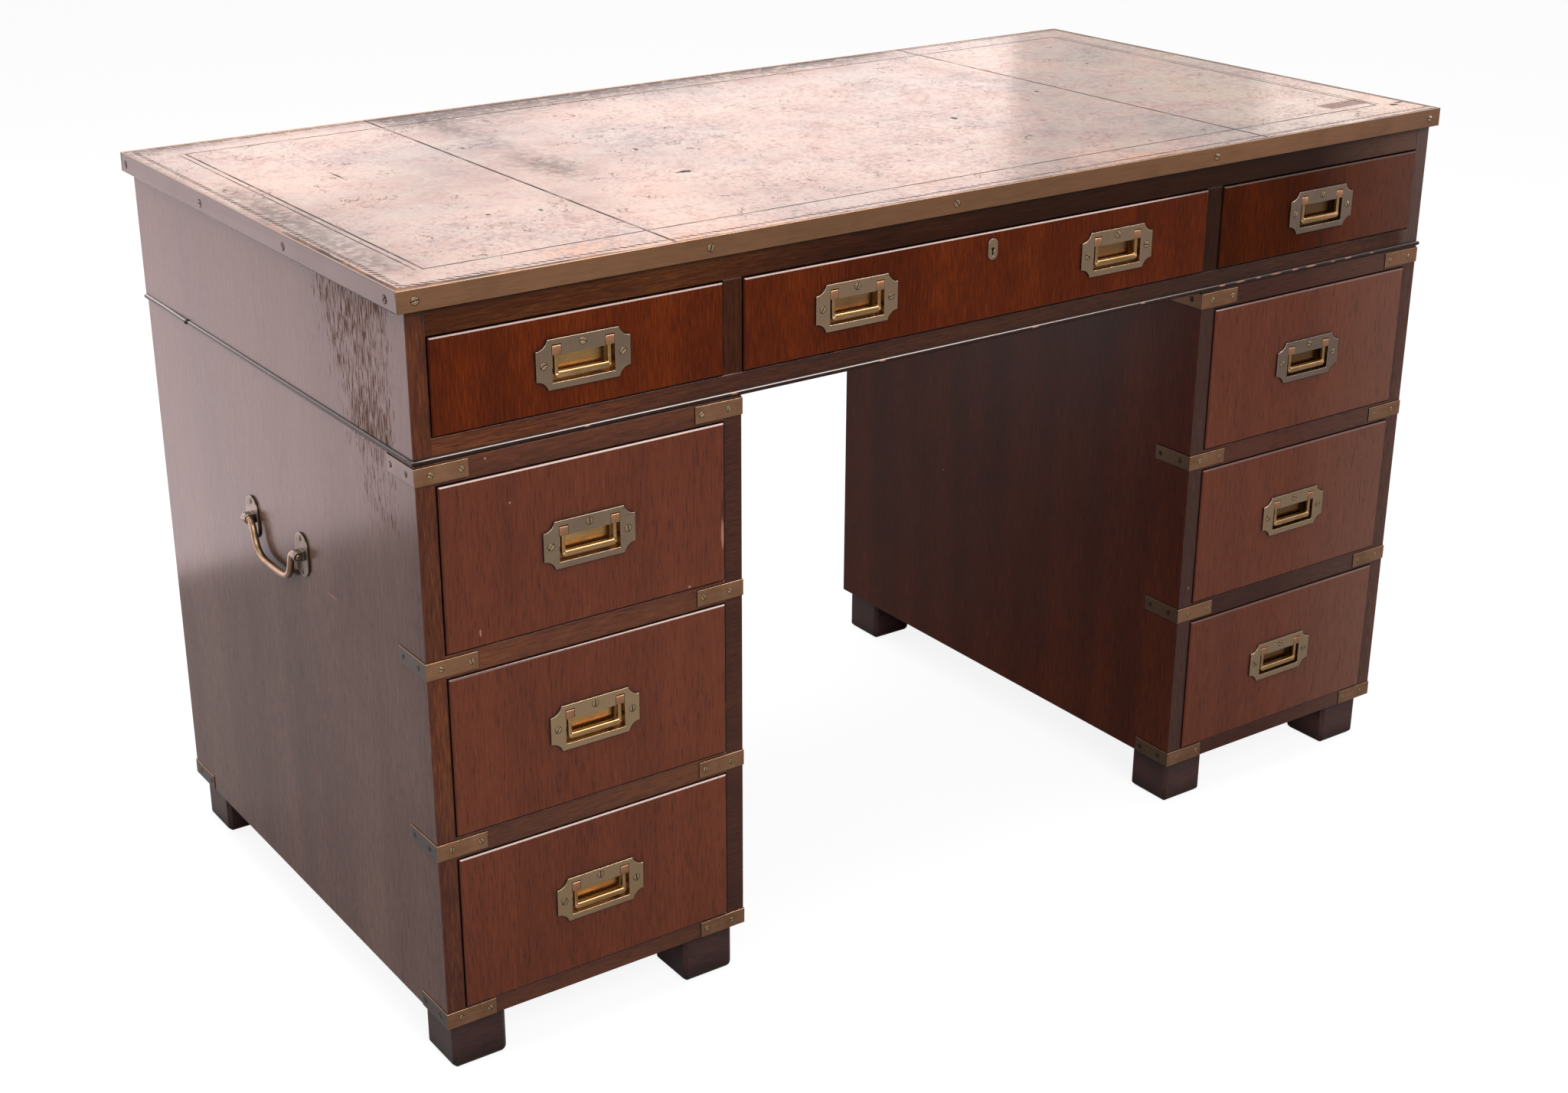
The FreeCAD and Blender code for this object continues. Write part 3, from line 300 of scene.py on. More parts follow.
def mahogany(name, along, stain, worn="#8A4A2C", dull=0.3, figure=0.28, edge_face=None, level=None,
             crazed=False, ior=1.36, marks=(), round_mm=1.2, kneehole=None, tints=(), edge_tints=(),
             edge_polish=0.6):
    """Polished mahogany. stain: dark, middle and light; edge_face: the same for faces to the front;
    level: (low, high, half length) in mm: the fibres run level below, above and within them;
    marks: scuffs as (centre, half sizes) in mm; kneehole: the stain of faces that look sideways
    near the middle; tints: see tinted(), edge_tints: the same for faces to the front. The polish is
    thickest along the rounded edges."""
    material, tree, place, axes, flat = new_surface(name)
    normal = add(tree, "SeparateXYZ", {"Vector": flat}).outputs
    bands, lines, pores = fibres(place, along)
    if level:
        below = calc("LESS_THAN", axes["Z"], level[0] * MM)
        above = calc("GREATER_THAN", axes["Z"], level[1] * MM)
        within = calc("LESS_THAN", calc("ABSOLUTE", axes["X"]), level[2] * MM)
        board = calc("MULTIPLY", calc("ADD", below, above), within)
        pairs = zip((bands, lines, pores), fibres(place, "x"))
        bands, lines, pores = (mix(board, upright, lying) for upright, lying in pairs)
    cloud = noise(place, 5.0, 3.0)
    shade = mix(0.22, mix(1 - figure, bands, lines), cloud)
    wood = stained(shade, stain)
    if kneehole:
        inner = calc("MULTIPLY", near_middle(axes), looks_sideways(normal, 0.5))
        wood = overlay(inner, wood, stained(shade, kneehole))
    if edge_face:
        # The edges beside the kneehole are stained darker than the outer ones.
        darker = remap(calc("ABSOLUTE", axes["X"]), 500 * MM, 330 * MM, high=0.6)
        front_wood = overlay(darker, stained(shade, edge_face), "#2C1A16")
        front_wood = tinted(front_wood, axes, edge_tints)
        wood = overlay(calc("LESS_THAN", normal["Y"], -0.5), wood, front_wood)
    wood = tinted(wood, axes, tints)
    wood = overlay(remap(pores, 0.6, 0.72, high=0.55), wood, "#1E0F0A")
    # Dirt and old polish in the inner corners, and a thin dark glaze that runs out of them; the same
    # darkening is painted shade there too.
    wood = overlay(corner_dirt_and_shade(tree, 26, 6, 0.6, 0.985, 0.9), wood, "#1A100C")
    # Hands and boxes wear the edges in patches.
    rounded, edge = rounded_edges(tree, flat, round_mm, 4, 0.985, 0.86)
    rubbed = remap(noise(place, 45.0, 4.0), 0.56, 0.66)
    wood = overlay(calc("MULTIPLY", edge, rubbed), wood, worn)
    # Small dents and rubbed spots, about 80 mm apart and 2 mm wide, and the scuffs.
    dents = add(tree, "TexVoronoi", {"Vector": place, "Scale": 13.0}).outputs["Distance"]
    scuffs = [mark(place, centre, reach, lines) for centre, reach in marks]
    wood = overlay(largest(remap(dents, 0.018, 0.01), *scuffs), wood, "#9C6A54")
    # A chamfer that looks up keeps the most polish, so it counts as an edge over its whole width.
    chamfer = calc("COMPARE", normal["Z"], 0.7, 0.3)
    thick = calc("MULTIPLY", largest(edge, chamfer), edge_polish)
    polish = remap(cloud, 0.0, 1.0, dull - 0.04, dull + 0.06)
    height = lines
    if crazed:
        wood, polish, height = crazing(place, axes, wood, polish, height)
    sockets = {"Base Color": wood, "Roughness": polish, "IOR": ior, "Coat Weight": thick,
               "Coat IOR": 1.6, "Coat Roughness": 0.1, "Coat Normal": rounded}
    return finish_surface(material, sockets, 0.12, 0.1, {"Height": height, "Normal": rounded})


def crazing(place, axes, wood, polish, height):
    """Polish that has split along the fibres near the front of the left side and shows bare wood."""
    slanted = calc("MULTIPLY_ADD", axes["Z"], -0.4, axes["Y"])
    dense = calc("MULTIPLY_ADD", noise(place, 14.0, 3.0), 1.2, 0.5)
    # Ahead of a slanting line, clear of the front edge, weaker below the frieze, none lower down.
    for value, start, end, least in ((slanted, -385, -445, 0.0), (axes["Y"], -300, -270, 0.0),
                                     (axes["Z"], 585, 625, 0.78), (axes["Z"], 470, 540, 0.0)):
        dense = calc("MULTIPLY", dense, remap(value, start * MM, end * MM, least))
    dense = calc("MULTIPLY", dense, calc("LESS_THAN", axes["X"], -600 * MM))
    # A split is about 1 mm wide and 10 to 20 mm long, one each 4 mm; drawn a little wider, to show.
    stretched = scaled(place, (1, 1, 0.1))
    limit = calc("MULTIPLY_ADD", dense, -0.29, 0.8)
    split = remap(calc("SUBTRACT", noise(stretched, 560.0, 2.0), limit), 0.0, 0.05)
    wood = overlay(split, wood, "#5C3C2E")
    height = calc("MULTIPLY_ADD", split, -0.8, height)
    return wood, mix(split, polish, 0.8), height


# Half the frieze's length between its end boards.
FRIEZE_HALF = 605.2
FRONT_EDGE = ("#3C1C10", "#5C2F1A", "#764222")
RIGHT_EDGE = ("#3C2620", "#52352D", "#644338")
KNEEHOLE = ("#34120A", "#451A0B", "#57250F")
# The outer sides' stain is paler and greyer than the same wood's in the kneehole: partly painted
# reflection of the polish's sheen.
OUTER_SIDE_WITH_SHEEN = ("#553A33", "#66473F", "#74554B")
# Chips in the bead's polish: the place along the front and half the length, in mm.
BEAD_CHIPS = ((-455, 3), (-300, 5), (-130, 4), (60, 6), (205, 4), (318, 5), (345, 8), (372, 5), (398, 9),
              (428, 6), (452, 10), (486, 4), (510, 6), (548, 3))
frieze_front_polish = mahogany(
    "mahogany_frieze_front_upright_grain", "z", ("#3E1402", "#541D04", "#6A2B08"), worn="#9A5A34",
    ior=1.19, round_mm=0.5)
# The pale greyish tint at its right end is painted reflection.
right_front_polish = mahogany(
    "mahogany_right_frieze_front_darker", "z", ("#2E0E02", "#401500", "#541E02"), worn="#9A5A34",
    ior=1.13, round_mm=0.5, tints=(("X", 430, 600, 0.42, "#7A5448"),))
# The pedestal fronts' stain is paler and greyer than the frieze's: partly painted reflection of the floor.
# Its pale greyish tint at the right end is painted reflection too.
pedestal_front_polish = mahogany(
    "mahogany_pedestal_front_upright_grain", "z", ("#532414", "#5F2C19", "#69331D"), worn="#9A5A38",
    ior=1.32, round_mm=0.5, tints=(("X", 440, 600, 0.3, "#8A6658"),),
    marks=(((-315, -314, 481), (2, 20, 16)), ((-570, -314, 446), (1, 20, 4)),
           ((-352, -314, 436), (2, 20, 1.5))))
rail_polish = mahogany("mahogany_rail_level_grain", "x", FRONT_EDGE, figure=0.45,
                       tints=(("Z", 330, 230, 0.35, "#2C1C1A"),))
# The pale greyish tint at its right end is painted reflection.
right_rail_polish = mahogany(
    "mahogany_right_rail_darker", "x", ("#2A120A", "#3E1D12", "#522A1C"), figure=0.45, ior=1.3,
    tints=(("X", 440, 600, 0.25, "#7A5C50"),))
# Its pale greyish tint at the right end is painted reflection.
frame_polish = mahogany(
    "mahogany_frieze_frame", "z", ("#2C1408", "#4A2410", "#6A3C1C"), figure=0.5, ior=1.2,
    level=(632.5, 721.5, FRIEZE_HALF),
    tints=(("X", -380, 40, 0.75, "#180804"), ("X", 450, 600, 0.4, "#8A6658")))
# Its fronts' pale greyish tint at the right end is painted reflection.
side_polish = mahogany(
    "mahogany_side_upright_grain", "z", OUTER_SIDE_WITH_SHEEN, dull=0.18, kneehole=KNEEHOLE, ior=1.28,
    edge_face=FRONT_EDGE, level=(632.5, 800, FRIEZE_HALF), crazed=True,
    edge_tints=(("X", -330, 420, 0.5, "#1C1A1A"), ("X", 590, 602, 0.6, "#66504A"),
                ("Z", 330, 230, 0.3, "#2C1C20")),
    marks=(((-623, -70, 430), (20, 9, 1)), ((-623, -120, 424), (20, 14, 1))))
right_side_polish = mahogany("mahogany_kneehole_upright_grain", "z", OUTER_SIDE_WITH_SHEEN, kneehole=KNEEHOLE,
                             ior=1.25, edge_face=RIGHT_EDGE)
back_polish = mahogany("mahogany_back_upright_grain", "z", ("#33201A", "#452B20", "#553626"), dull=0.45)
bead_polish = mahogany(
    "mahogany_bead_dark_polish", "x", ("#1A0C08", "#26130D", "#341C13"), dull=0.34, ior=1.25,
    round_mm=0.01, edge_polish=1.0,
    marks=tuple(((x, -313, 614.5), (wide, 9, 0.9)) for x, wide in BEAD_CHIPS))
foot_polish = mahogany("mahogany_foot_dark_polish", "x", ("#2C1A18", "#3E2624", "#4E302C"), dull=0.32)
lining = mahogany("oak_drawer_lining_oiled", "y", ("#6E4E30", "#86633E", "#9C7A50"), dull=0.6)
carcass_wood = mahogany("mahogany_carcass_unpolished", "x", ("#3D261B", "#4E3324", "#5E402D"), dull=0.6)

# %% [markdown]
# Brass. Sheet brass for bands and straps was rolled and then rubbed with fine paper along its
# length, and has browned with age; the browning is uneven and gathers in blotches one to seven
# centimetres wide. The cast pulls are greyer where the lacquer is left and golden in the pan.
# Their tints along the desk, and the tones of faces that look sideways or up, are painted light.

# %% Materials: brass in its finishes
def brass(name, fresh, aged, rough, grain=(1, 1, 1), blotch=70.0, side_light_tone=None, pan=None,
          bright="#E8CFAE", top=None, kneehole=None, tints=(), pan_tints=()):
    """Aged brass: two tones mixed by soft blotches, rubbed bright along its edges. The tones for faces
    to the side, upwards, and to the side near the middle are painted light, for how those faces are lit;
    pan: two tones for what lies behind a plate's face; tints, pan_tints: see tinted()."""
    material, tree, place, axes, flat = new_surface(name)
    normal = add(tree, "SeparateXYZ", {"Vector": flat}).outputs
    lengthways = scaled(place, grain)
    blotches = noise(place, blotch, 3.0)
    marks = noise(lengthways, 900.0, 2.0)
    spread = remap(mix(0.35, blotches, marks), 0.3, 0.7)
    tone = tinted(overlay(spread, fresh, aged), axes, tints)
    # Painted light: faces to the side, faces upwards and the sideways faces near the middle get their own
    # tones, for how each is lit.
    if side_light_tone:
        tone = overlay(looks_sideways(normal, 0.7), tone, side_light_tone)
    if top:
        tone = overlay(calc("GREATER_THAN", normal["Z"], 0.7), tone, top)
    if kneehole:
        inner = calc("MULTIPLY", looks_sideways(normal, 0.7), near_middle(axes))
        tone = overlay(inner, tone, kneehole)
    if pan:
        # The pan keeps its gold behind the plate's face, 313 mm ahead of the desk's middle.
        deep = calc("GREATER_THAN", axes["Y"], -312.9 * MM)
        gold = tinted(overlay(spread, *pan), axes, pan_tints)
        tone = overlay(deep, tone, gold)
    # Brown wax and dirt stay in the inner corners, and the same darkening is painted shade.
    tone = overlay(corner_dirt_and_shade(tree, 5, 4, 0.2, 0.75, 0.6), tone, "#3A2A1A")
    # Cloths and fingers keep the edges bright and smooth.
    rounded, edge = rounded_edges(tree, flat, 0.7, 8, 0.98, 0.85, 0.42)
    tone = overlay(edge, tone, bright)
    matt = mix(edge, remap(blotches, 0.0, 1.0, rough - 0.08, rough + 0.1), 0.26)
    sockets = {"Base Color": tone, "Metallic": 1.0, "Roughness": matt}
    return finish_surface(material, sockets, 0.06, 0.03, {"Height": marks, "Normal": rounded})


# The band's tones for its side and top faces are painted light, and its darker right end is painted shade.
band_brass = brass(
    "brass_sheet_band_aged", "#AA7C5C", "#805E46", 0.3, (0.05, 1, 1), 14.0, side_light_tone="#4E4642",
    bright="#A08468", top="#5C4C42", tints=(("X", 360, 630, 0.6, "#4C3C36"),))
# The strap's tones for faces to the side and for its sideways faces in the kneehole are painted light.
strap_brass = brass("brass_sheet_strap_aged", "#9E765A", "#7C5840", 0.34, (0.05, 1, 1), 50.0,
                    side_light_tone="#605550", kneehole="#6E5642")
# Their tints along the desk are painted reflection: plates more golden from the middle on and on the lower
# drawers, grey at the right end; pans browner from the middle on and darkest at the right end.
plate_brass = brass(
    "brass_cast_pull_plate_aged", "#98826A", "#847060", 0.27, (0.05, 1, 1), 40.0,
    pan=("#C49C66", "#8E6E44"), bright="#D8C4AC",
    tints=(("X", -300, -220, 0.4, "#C0A080"), ("X", 300, 420, 0.6, "#766A68"),
           ("Z", 440, 340, 0.5, "#B4966E")),
    pan_tints=(("X", -300, -220, 0.45, "#6E4A38"), ("X", 300, 420, 0.6, "#3E3026")))
lug_brass = brass("brass_lug_coppery", "#AC8062", "#90664A", 0.42, bright="#D8A884")
bail_brass = brass("brass_bail_rubbed", "#B8946A", "#927048", 0.28)
grip_brass = brass("brass_cast_grip_rubbed", "#A0866A", "#786048", 0.3)
oval_brass = brass("brass_cast_oval_plate_aged", "#7E7268", "#5E544C", 0.34)
# The screw heads' dark tone for faces to the side is painted shade.
screw_brass = brass("brass_screw_head_turned", "#B49A7A", "#8E7658", 0.3, side_light_tone="#3A3330")
# The slot's floor and the ring round each head are dark with old wax, and their darkness is also painted
# shade.
slot_wax_and_shade = brass("brass_screw_slot_wax_and_painted_shade", "#2A2018", "#1A140E", 0.7, bright="#3A2E22")
lock_steel = brass("steel_lock_bolt_dull", "#8C8A86", "#6A6662", 0.4, bright="#A8A6A0")

# %% [markdown]
# Leather. The hide is thin calf, glued down and tooled with a hot wheel: a rope line near the
# edge, a thin fillet inside it and two cross lines that part the panel in three. The finish has
# worn through to the brown hide in places, ink and cups have darkened others.
#
# The tooling is drawn in the material from the piece's own coordinates, because a wheel's line
# is only a millimetre or two wide. The larger marks are stored on the surface's points by the function
# that makes it.

# %% Materials: tooled writing leather
# The sheet's half sizes, and the levels of its face and its underside.
HALF_X, HALF_Y = 629.1, 313.1
FACE_LEVEL, UNDERSIDE_LEVEL = 764.68, 763.45
# Ink spots and scratches: place and half sizes. They lie at one level, on the leather's face.
SPILT_LEVEL = 764.7
INK_SPOTS = ((-208, -91, 10, 5), (166, -48, 4, 6), (-448, -132, 3, 3), (-400, -145, 2, 5),
             (-195, 21, 3, 4), (500, 107, 3, 3), (336, 11, 3, 4), (-495, 90, 1.2, 26),
             (605, -274, 7, 4), (619, -268, 12, 2.4))


def distance(value, middle):
    """How far a value lies from a place in mm: |value - place|."""
    return calc("ABSOLUTE", calc("SUBTRACT", value, middle * MM))


def box_line(across, deep, half_x, half_y, width):
    """A line along a rectangle: 1 where |max(|x| - a, |y| - b)| is under half the width."""
    dx = calc("SUBTRACT", across, half_x * MM)
    dy = calc("SUBTRACT", deep, half_y * MM)
    off = calc("ABSOLUTE", largest(dx, dy))
    return remap(off, width * 0.6 * MM, width * 0.4 * MM)


def tooled_leather():
    """Brown calf, glazed, with dark tooled lines, crackle, grime and rubbed places."""
    material, tree, place, axes, _ = new_surface("leather_calf_tooled_and_glazed")
    # The tooled frames stand 3.5 mm to the right of the sheet's middle and 2.5 mm to the back.
    across = distance(axes["X"], 3.5)
    deep = distance(axes["Y"], 2.5)
    # Rope line, 5 mm wide, a few millimetres in from the edges; its strokes slant and follow each 8 mm.
    slant = calc("ADD", axes["X"], axes["Y"])
    wave = calc("SINE", calc("MULTIPLY", slant, 2 * math.pi / (8 * MM)))
    rope = box_line(across, deep, 623.5, 305, 5.2)
    rope = calc("MULTIPLY", rope, remap(wave, -0.4, 0.2))
    # The fillet inside it, double at the ends, and the two cross lines from edge to edge.
    fillet = box_line(across, deep, 584, 266.5, 2.4)
    ends = calc("LESS_THAN", deep, 266 * MM)
    outer = calc("MULTIPLY", box_line(across, deep, 591, 300, 1.6), ends)
    cross = [remap(distance(axes["X"], x), 1.9 * MM, 1.1 * MM) for x in (-360, 370)]
    # Tooling is worn away here and there.
    rub = noise(place, 26.0, 4.0)
    kept = remap(rub, 0.64, 0.46, 0.6)
    tooled = calc("MULTIPLY", largest(rope, outer, *cross, fillet), kept)
    # Grain of the hide about 2 mm, slow clouds of colour, and a mottle of 8 mm.
    grain = add(tree, "TexVoronoi", {"Vector": place, "Scale": 480.0}, feature="DISTANCE_TO_EDGE")
    mottle = noise(place, 130.0, 6.0, 0.65)
    tone = mix(0.4, noise(place, 5.0, 5.0, 0.6), mottle)
    colour = ramp(tone, [(0.38, "#5C4440"), (0.5, "#865F52"), (0.62, "#A67E6A")])
    # The dressing has turned in patches up to 60 mm wide: some are mauve, some are sallow.
    turned = noise(place, 17.0, 6.0, 0.7)
    colour = overlay(remap(turned, 0.46, 0.62, high=0.55), colour, "#7C6650")
    # Crackle: thin broken lines where a noise passes through its middle value.
    veins = noise(place, 38.0, 4.0, distortion=1.2)
    vein = calc("ABSOLUTE", calc("SUBTRACT", veins, 0.5))
    crackle = calc("MULTIPLY", remap(vein, 0.01, 0.003, high=0.6), remap(rub, 0.48, 0.6))
    # Larger marks, from the points: ochre ground, rubbed orange places, and grime.
    dull = crackle
    torn = calc("MULTIPLY_ADD", mottle, 5.5, -2.75)
    for name, code, share in (("ochre", "#84704C", 0.0), ("rubbed", "#B8784C", 0.3),
                              ("grime", "#483A38", 0.8)):
        amount = add(tree, "Attribute", attribute_name=name).outputs["Fac"]
        cover = remap(calc("ADD", torn, amount), 0.1, 1.1, high=0.85)
        cover = calc("MULTIPLY", cover, amount, clamp=True)
        colour = overlay(cover, colour, code)
        dull = calc("MULTIPLY_ADD", cover, share, dull)
    spilt = [mark(place, (x, y, SPILT_LEVEL), (wide, high, 9), mottle) for x, y, wide, high in INK_SPOTS]
    ink = largest(tooled, crackle, *spilt)
    colour = overlay(ink, colour, "#241A18")
    # A scorched bar near the right end, 60 x 22 mm, that a hot stand left.
    bar = box_line(distance(axes["X"], 562), distance(axes["Y"], -240), 19, 0, 23)
    scorch = calc("MULTIPLY", bar, 0.7)
    colour = overlay(scorch, colour, "#5A3E38")
    # The worn rim: bare, dark hide at the left edge and at the front edge near that corner.
    shaken = calc("MULTIPLY_ADD", turned, 10 * MM, -5 * MM)
    left_rim = remap(calc("ADD", axes["X"], shaken), -624 * MM, -625 * MM)
    left_rim = calc("MULTIPLY", left_rim, remap(axes["Y"], 0.0, -120 * MM, 0.25))
    front_line = remap(axes["X"], -629 * MM, -380 * MM, -305 * MM, -311 * MM)
    front_rim = calc("ADD", calc("SUBTRACT", axes["Y"], front_line), shaken)
    rim = largest(left_rim, remap(front_rim, 0.0, -1 * MM))
    rim_hide = ramp(rub, [(0.42, "#2E1C12"), (0.54, "#5A3A26"), (0.66, "#94643C")])
    colour = overlay(rim, colour, rim_hide)
    # The glaze is a clear coat. It is gone from all of these, which show the dull hide.
    bare = calc("MULTIPLY_ADD", ink, 1.0, largest(dull, rim, scorch), clamp=True)
    fine = noise(place, 260.0, 4.0, 0.7)
    whole = mix(0.35, mix(0.5, mottle, fine), turned)
    whole = calc("MINIMUM", remap(whole, 0.37, 0.61, 0.44, 1.14), 1.0)
    glaze = calc("MULTIPLY", whole, calc("MULTIPLY_ADD", bare, -1.0, 1.0))
    height = mix(0.15, calc("MULTIPLY_ADD", ink, -1.0, mottle), grain.outputs["Distance"])
    sockets = {"Base Color": colour, "Roughness": 0.7, "IOR": 1.3, "Coat Weight": glaze,
               "Coat IOR": 1.5, "Coat Roughness": 0.2}
    return finish_surface(material, sockets, 0.3, 0.12, {"Height": height})


leather = tooled_leather()

# %% [markdown]
# The CAD boards have knife edges. A plane and some paper take the edge off every real board, and
# that small round is what catches the light. A Weld joins the loose triangles of the CAD mesh and
# a Bevel rounds its edges, both as modifiers, so the mesh itself stays as it is.

# %% Finish the CAD boards and plates
def dress(name, material, round_mm):
    """Gives a CAD node its finish and rounds its edges."""
    node = nodes[name]
    if node.data.materials:
        node.data.materials[0] = material
    else:
        node.data.materials.append(material)
    weld = node.modifiers.new("join", "WELD")
    weld.merge_threshold = 0.01 * MM
    bevel = node.modifiers.new("edges", "BEVEL")
    bevel.width = round_mm * MM
    bevel.segments = 2
    bevel.limit_method = "ANGLE"
    bevel.angle_limit = math.radians(35)


# The start of a node's name, a part of it, its finish and its edges' radius: the first row that fits.
FINISHES = (
    ("frieze_right", "_front", right_front_polish, 0.3),
    ("frieze", "_front", frieze_front_polish, 0.3),
    ("", "_front", pedestal_front_polish, 0.3),
    ("", "_box", lining, 0.5),
    ("", "_pull", plate_brass, 0.35),
    ("", "straps", strap_brass, 0.25),
    ("", "handle_plates", oval_brass, 0.6),
    ("left", "sides", side_polish, 0.8),
    ("right", "sides", right_side_polish, 0.8),
    ("", "_back", back_polish, 0.6),
    ("left", "rails", rail_polish, 0.6),
    ("right", "rails", right_rail_polish, 0.6),
    ("", "feet", foot_polish, 1.0),
    ("top_board", "", carcass_wood, 0.6),
    ("frieze_carcass", "", side_polish, 0.6),
    ("frieze_frame", "", frame_polish, 0.6),
    ("edge_bands", "", band_brass, 0.35),
    ("lock_bolt", "", lock_steel, 0.4),
    ("lock", "", plate_brass, 0.2))
dressed = 0
for name in nodes:
    for start, part, material, round_mm in FINISHES:
        if name.startswith(start) and part in name:
            dress(name, material, round_mm)
            dressed += 1
            break
print("dressed", dressed, "CAD nodes")

# %% [markdown]
# The writing leather is a thin sheet. Its height is a small function of place: nearly flat, a
# slow wave where the glue has let go, and an edge that curls at the front left corner.

# %% The writing leather
# Soft oval marks in each layer: share, place, half width and half depth.
GRIME = ((0.4, -303, 170, 24, 130), (0.5, -300, -20, 32, 60), (0.3, -180, 240, 180, 60),
         (0.4, -460, -10, 110, 80), (0.4, 332, 200, 14, 80), (0.4, -350, -150, 26, 70),
         (0.35, -300, 60, 110, 160), (0.35, -600, 0, 50, 300))
RUBBED = ((0.8, -446, -280, 55, 16), (0.8, 200, -300, 90, 12), (0.7, -330, -302, 140, 16),
          (0.25, -560, -200, 60, 70), (0.35, -240, -160, 120, 40))
OCHRE = ((0.5, 505, -70, 40, 90), (0.6, 415, -225, 24, 20), (0.4, -610, 120, 16, 160))


def spots(x, y, rows):
    """The marks of one layer: the sum of share * exp(-(u * u + v * v)), in each one's width and depth."""
    return sum(share * np.exp(-((x - at_x) / wide) ** 2 - ((y - at_y) / deep) ** 2)
               for share, at_x, at_y, wide, deep in rows)


def rise(value, at, width):
    """A soft step up at a place, or down if the width is negative: 1 / (1 + exp(-(v - at) / w))."""
    return 1 / (1 + np.exp(-(value - at) / width))


def leather_sheet():
    """Height = level + slow wave + curl: the wave is a product of two sines that fades out within
    30 mm of the edges, the curl dies away from the front edge. A point each 5 mm, underside flat."""
    u = np.linspace(-HALF_X, HALF_X, 253)
    v = np.linspace(-HALF_Y, HALF_Y, 127)
    x, y = np.meshgrid(u, v, indexing="ij")
    inset = np.minimum(HALF_X - np.abs(x), HALF_Y - np.abs(y))
    wave = 0.08 * np.sin(x / 47 + 1.3 * np.sin(y / 61)) * np.sin(y / 39)
    level = FACE_LEVEL + wave * np.clip(inset / 30, 0, 1)
    curl = np.exp(-inset / 5) * np.exp(-((x + 500) / 130) ** 2) * (y < -200)
    top = np.stack([x, y, level + 0.22 * curl], axis=-1)
    base = np.stack([x[::-1], y[::-1], np.full_like(x, UNDERSIDE_LEVEL)], axis=-1)
    return np.concatenate([top, base], axis=0)


def leather_piece():
    """The sheet's upper side, its four edges and its underside, with the marks on its points."""
    around = leather_sheet()
    half = len(around) // 2
    skins = [(around, True, False, 0)]
    for column in (0, -1):
        upper, lower = around[:half, [column]], around[half:, [column]][::-1]
        skins.append((np.concatenate([upper, lower], axis=1), False, False, 0))
    made = piece("writing_leather", "desk_top", skins, [leather])
    place = np.empty(len(made.data.vertices) * 3)
    made.data.vertices.foreach_get("co", place)
    x, y = place[0::3] / MM, place[1::3] / MM
    inset = np.minimum(HALF_X - np.abs(x), HALF_Y - np.abs(y))
    # Grime lies in the border behind the middle panel and on the left, and in soft streaks.
    middle = rise(x, -358, 4) * rise(x, 330, -18)
    left = np.exp(-((x + 606) / 20) ** 2) * rise(y, -285, 20) * rise(y, 120, -25)
    # The hide is bare behind the last line at the back, less so at the right end.
    hem = rise(y, 288, 5) * rise(x, 360, -10)
    streaks = 0.12 * (1 + np.sin(x / 71 + y / 93) * np.sin(y / 47))
    grime = (spots(x, y, GRIME) + 0.7 * middle * rise(y, 255, 13) + 0.5 * left
             + hem * (0.34 + 0.3 * (x < -362)) + streaks)
    rubbed = spots(x, y, RUBBED) + 0.55 * np.exp(-inset / 5)
    ochre = spots(x, y, OCHRE) + 0.35 * rise(x, 380, 30)
    for name, amount in (("grime", grime), ("rubbed", rubbed), ("ochre", ochre)):
        layer = made.data.attributes.new(name, "FLOAT", "POINT")
        layer.data.foreach_set("value", np.clip(amount, 0, 1.2).astype(np.float32))
    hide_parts("leather_panel")
    return made


writing_leather = leather_piece()
print("leather:", len(writing_leather.data.polygons), "faces")

# %% [markdown]
# Carried profiles. A bead, a bail and a grip are all one outline carried along a path. Each point
# of the path has two directions across it, and the outline is laid out on them.

# %% Helper: an outline carried along a path
def carry(outline, path, side, up, scale):
    """Points = path + scale * (outline x * side + outline y * up), for every point of the path. Its
    two ends are repeated at no size, which closes them."""
    path, side, up = (np.concatenate([rows[:1], rows, rows[-1:]]) for rows in (path, side, up))
    scale = np.concatenate([[0.0], scale, [0.0]])
    across = outline[None, :, 0:1] * side[:, None, :]
    upward = outline[None, :, 1:2] * up[:, None, :]
    return path[:, None, :] + (across + upward) * scale[:, None, None]


def soft_square(half, power, count):
    """A square with rounded corners: |x / a| ** n + |y / a| ** n = 1."""
    turn = np.linspace(0, 2 * np.pi, count, endpoint=False) + np.pi / count
    circle = np.stack([np.cos(turn), np.sin(turn)], axis=1)
    return half * np.sign(circle) * np.abs(circle) ** (2 / power)


def smooth_path(knots, count):
    """A cubic B-spline: each point is a weighted mean of four neighbouring knots."""
    knots = np.asarray(knots, dtype=float)
    knots = np.concatenate([knots[:1], knots[:1], knots, knots[-1:], knots[-1:]])
    t = np.linspace(0, len(knots) - 3 - 1e-9, count)
    i = t.astype(int)
    f = (t - i)[:, None]
    weights = ((1 - f) ** 3, 3 * f ** 3 - 6 * f ** 2 + 4, -3 * f ** 3 + 3 * f ** 2 + 3 * f + 1, f ** 3)
    return sum(w * knots[i + step] for step, w in enumerate(weights)) / 6


def directions(path, axis):
    """Across and along: the normal in the path's plane, and the plane's own axis."""
    tangent = np.gradient(path, axis=0)
    tangent /= np.linalg.norm(tangent, axis=1, keepdims=True) + 1e-12
    axis = np.broadcast_to(np.asarray(axis, dtype=float), path.shape)
    side = np.cross(tangent, axis)
    return side / (np.linalg.norm(side, axis=1, keepdims=True) + 1e-12), axis


def run_of(x, y, z):
    """Points in a row from their coordinates, of which some may be one number for all."""
    return np.stack(np.broadcast_arrays(x, y, z), axis=1).astype(float)


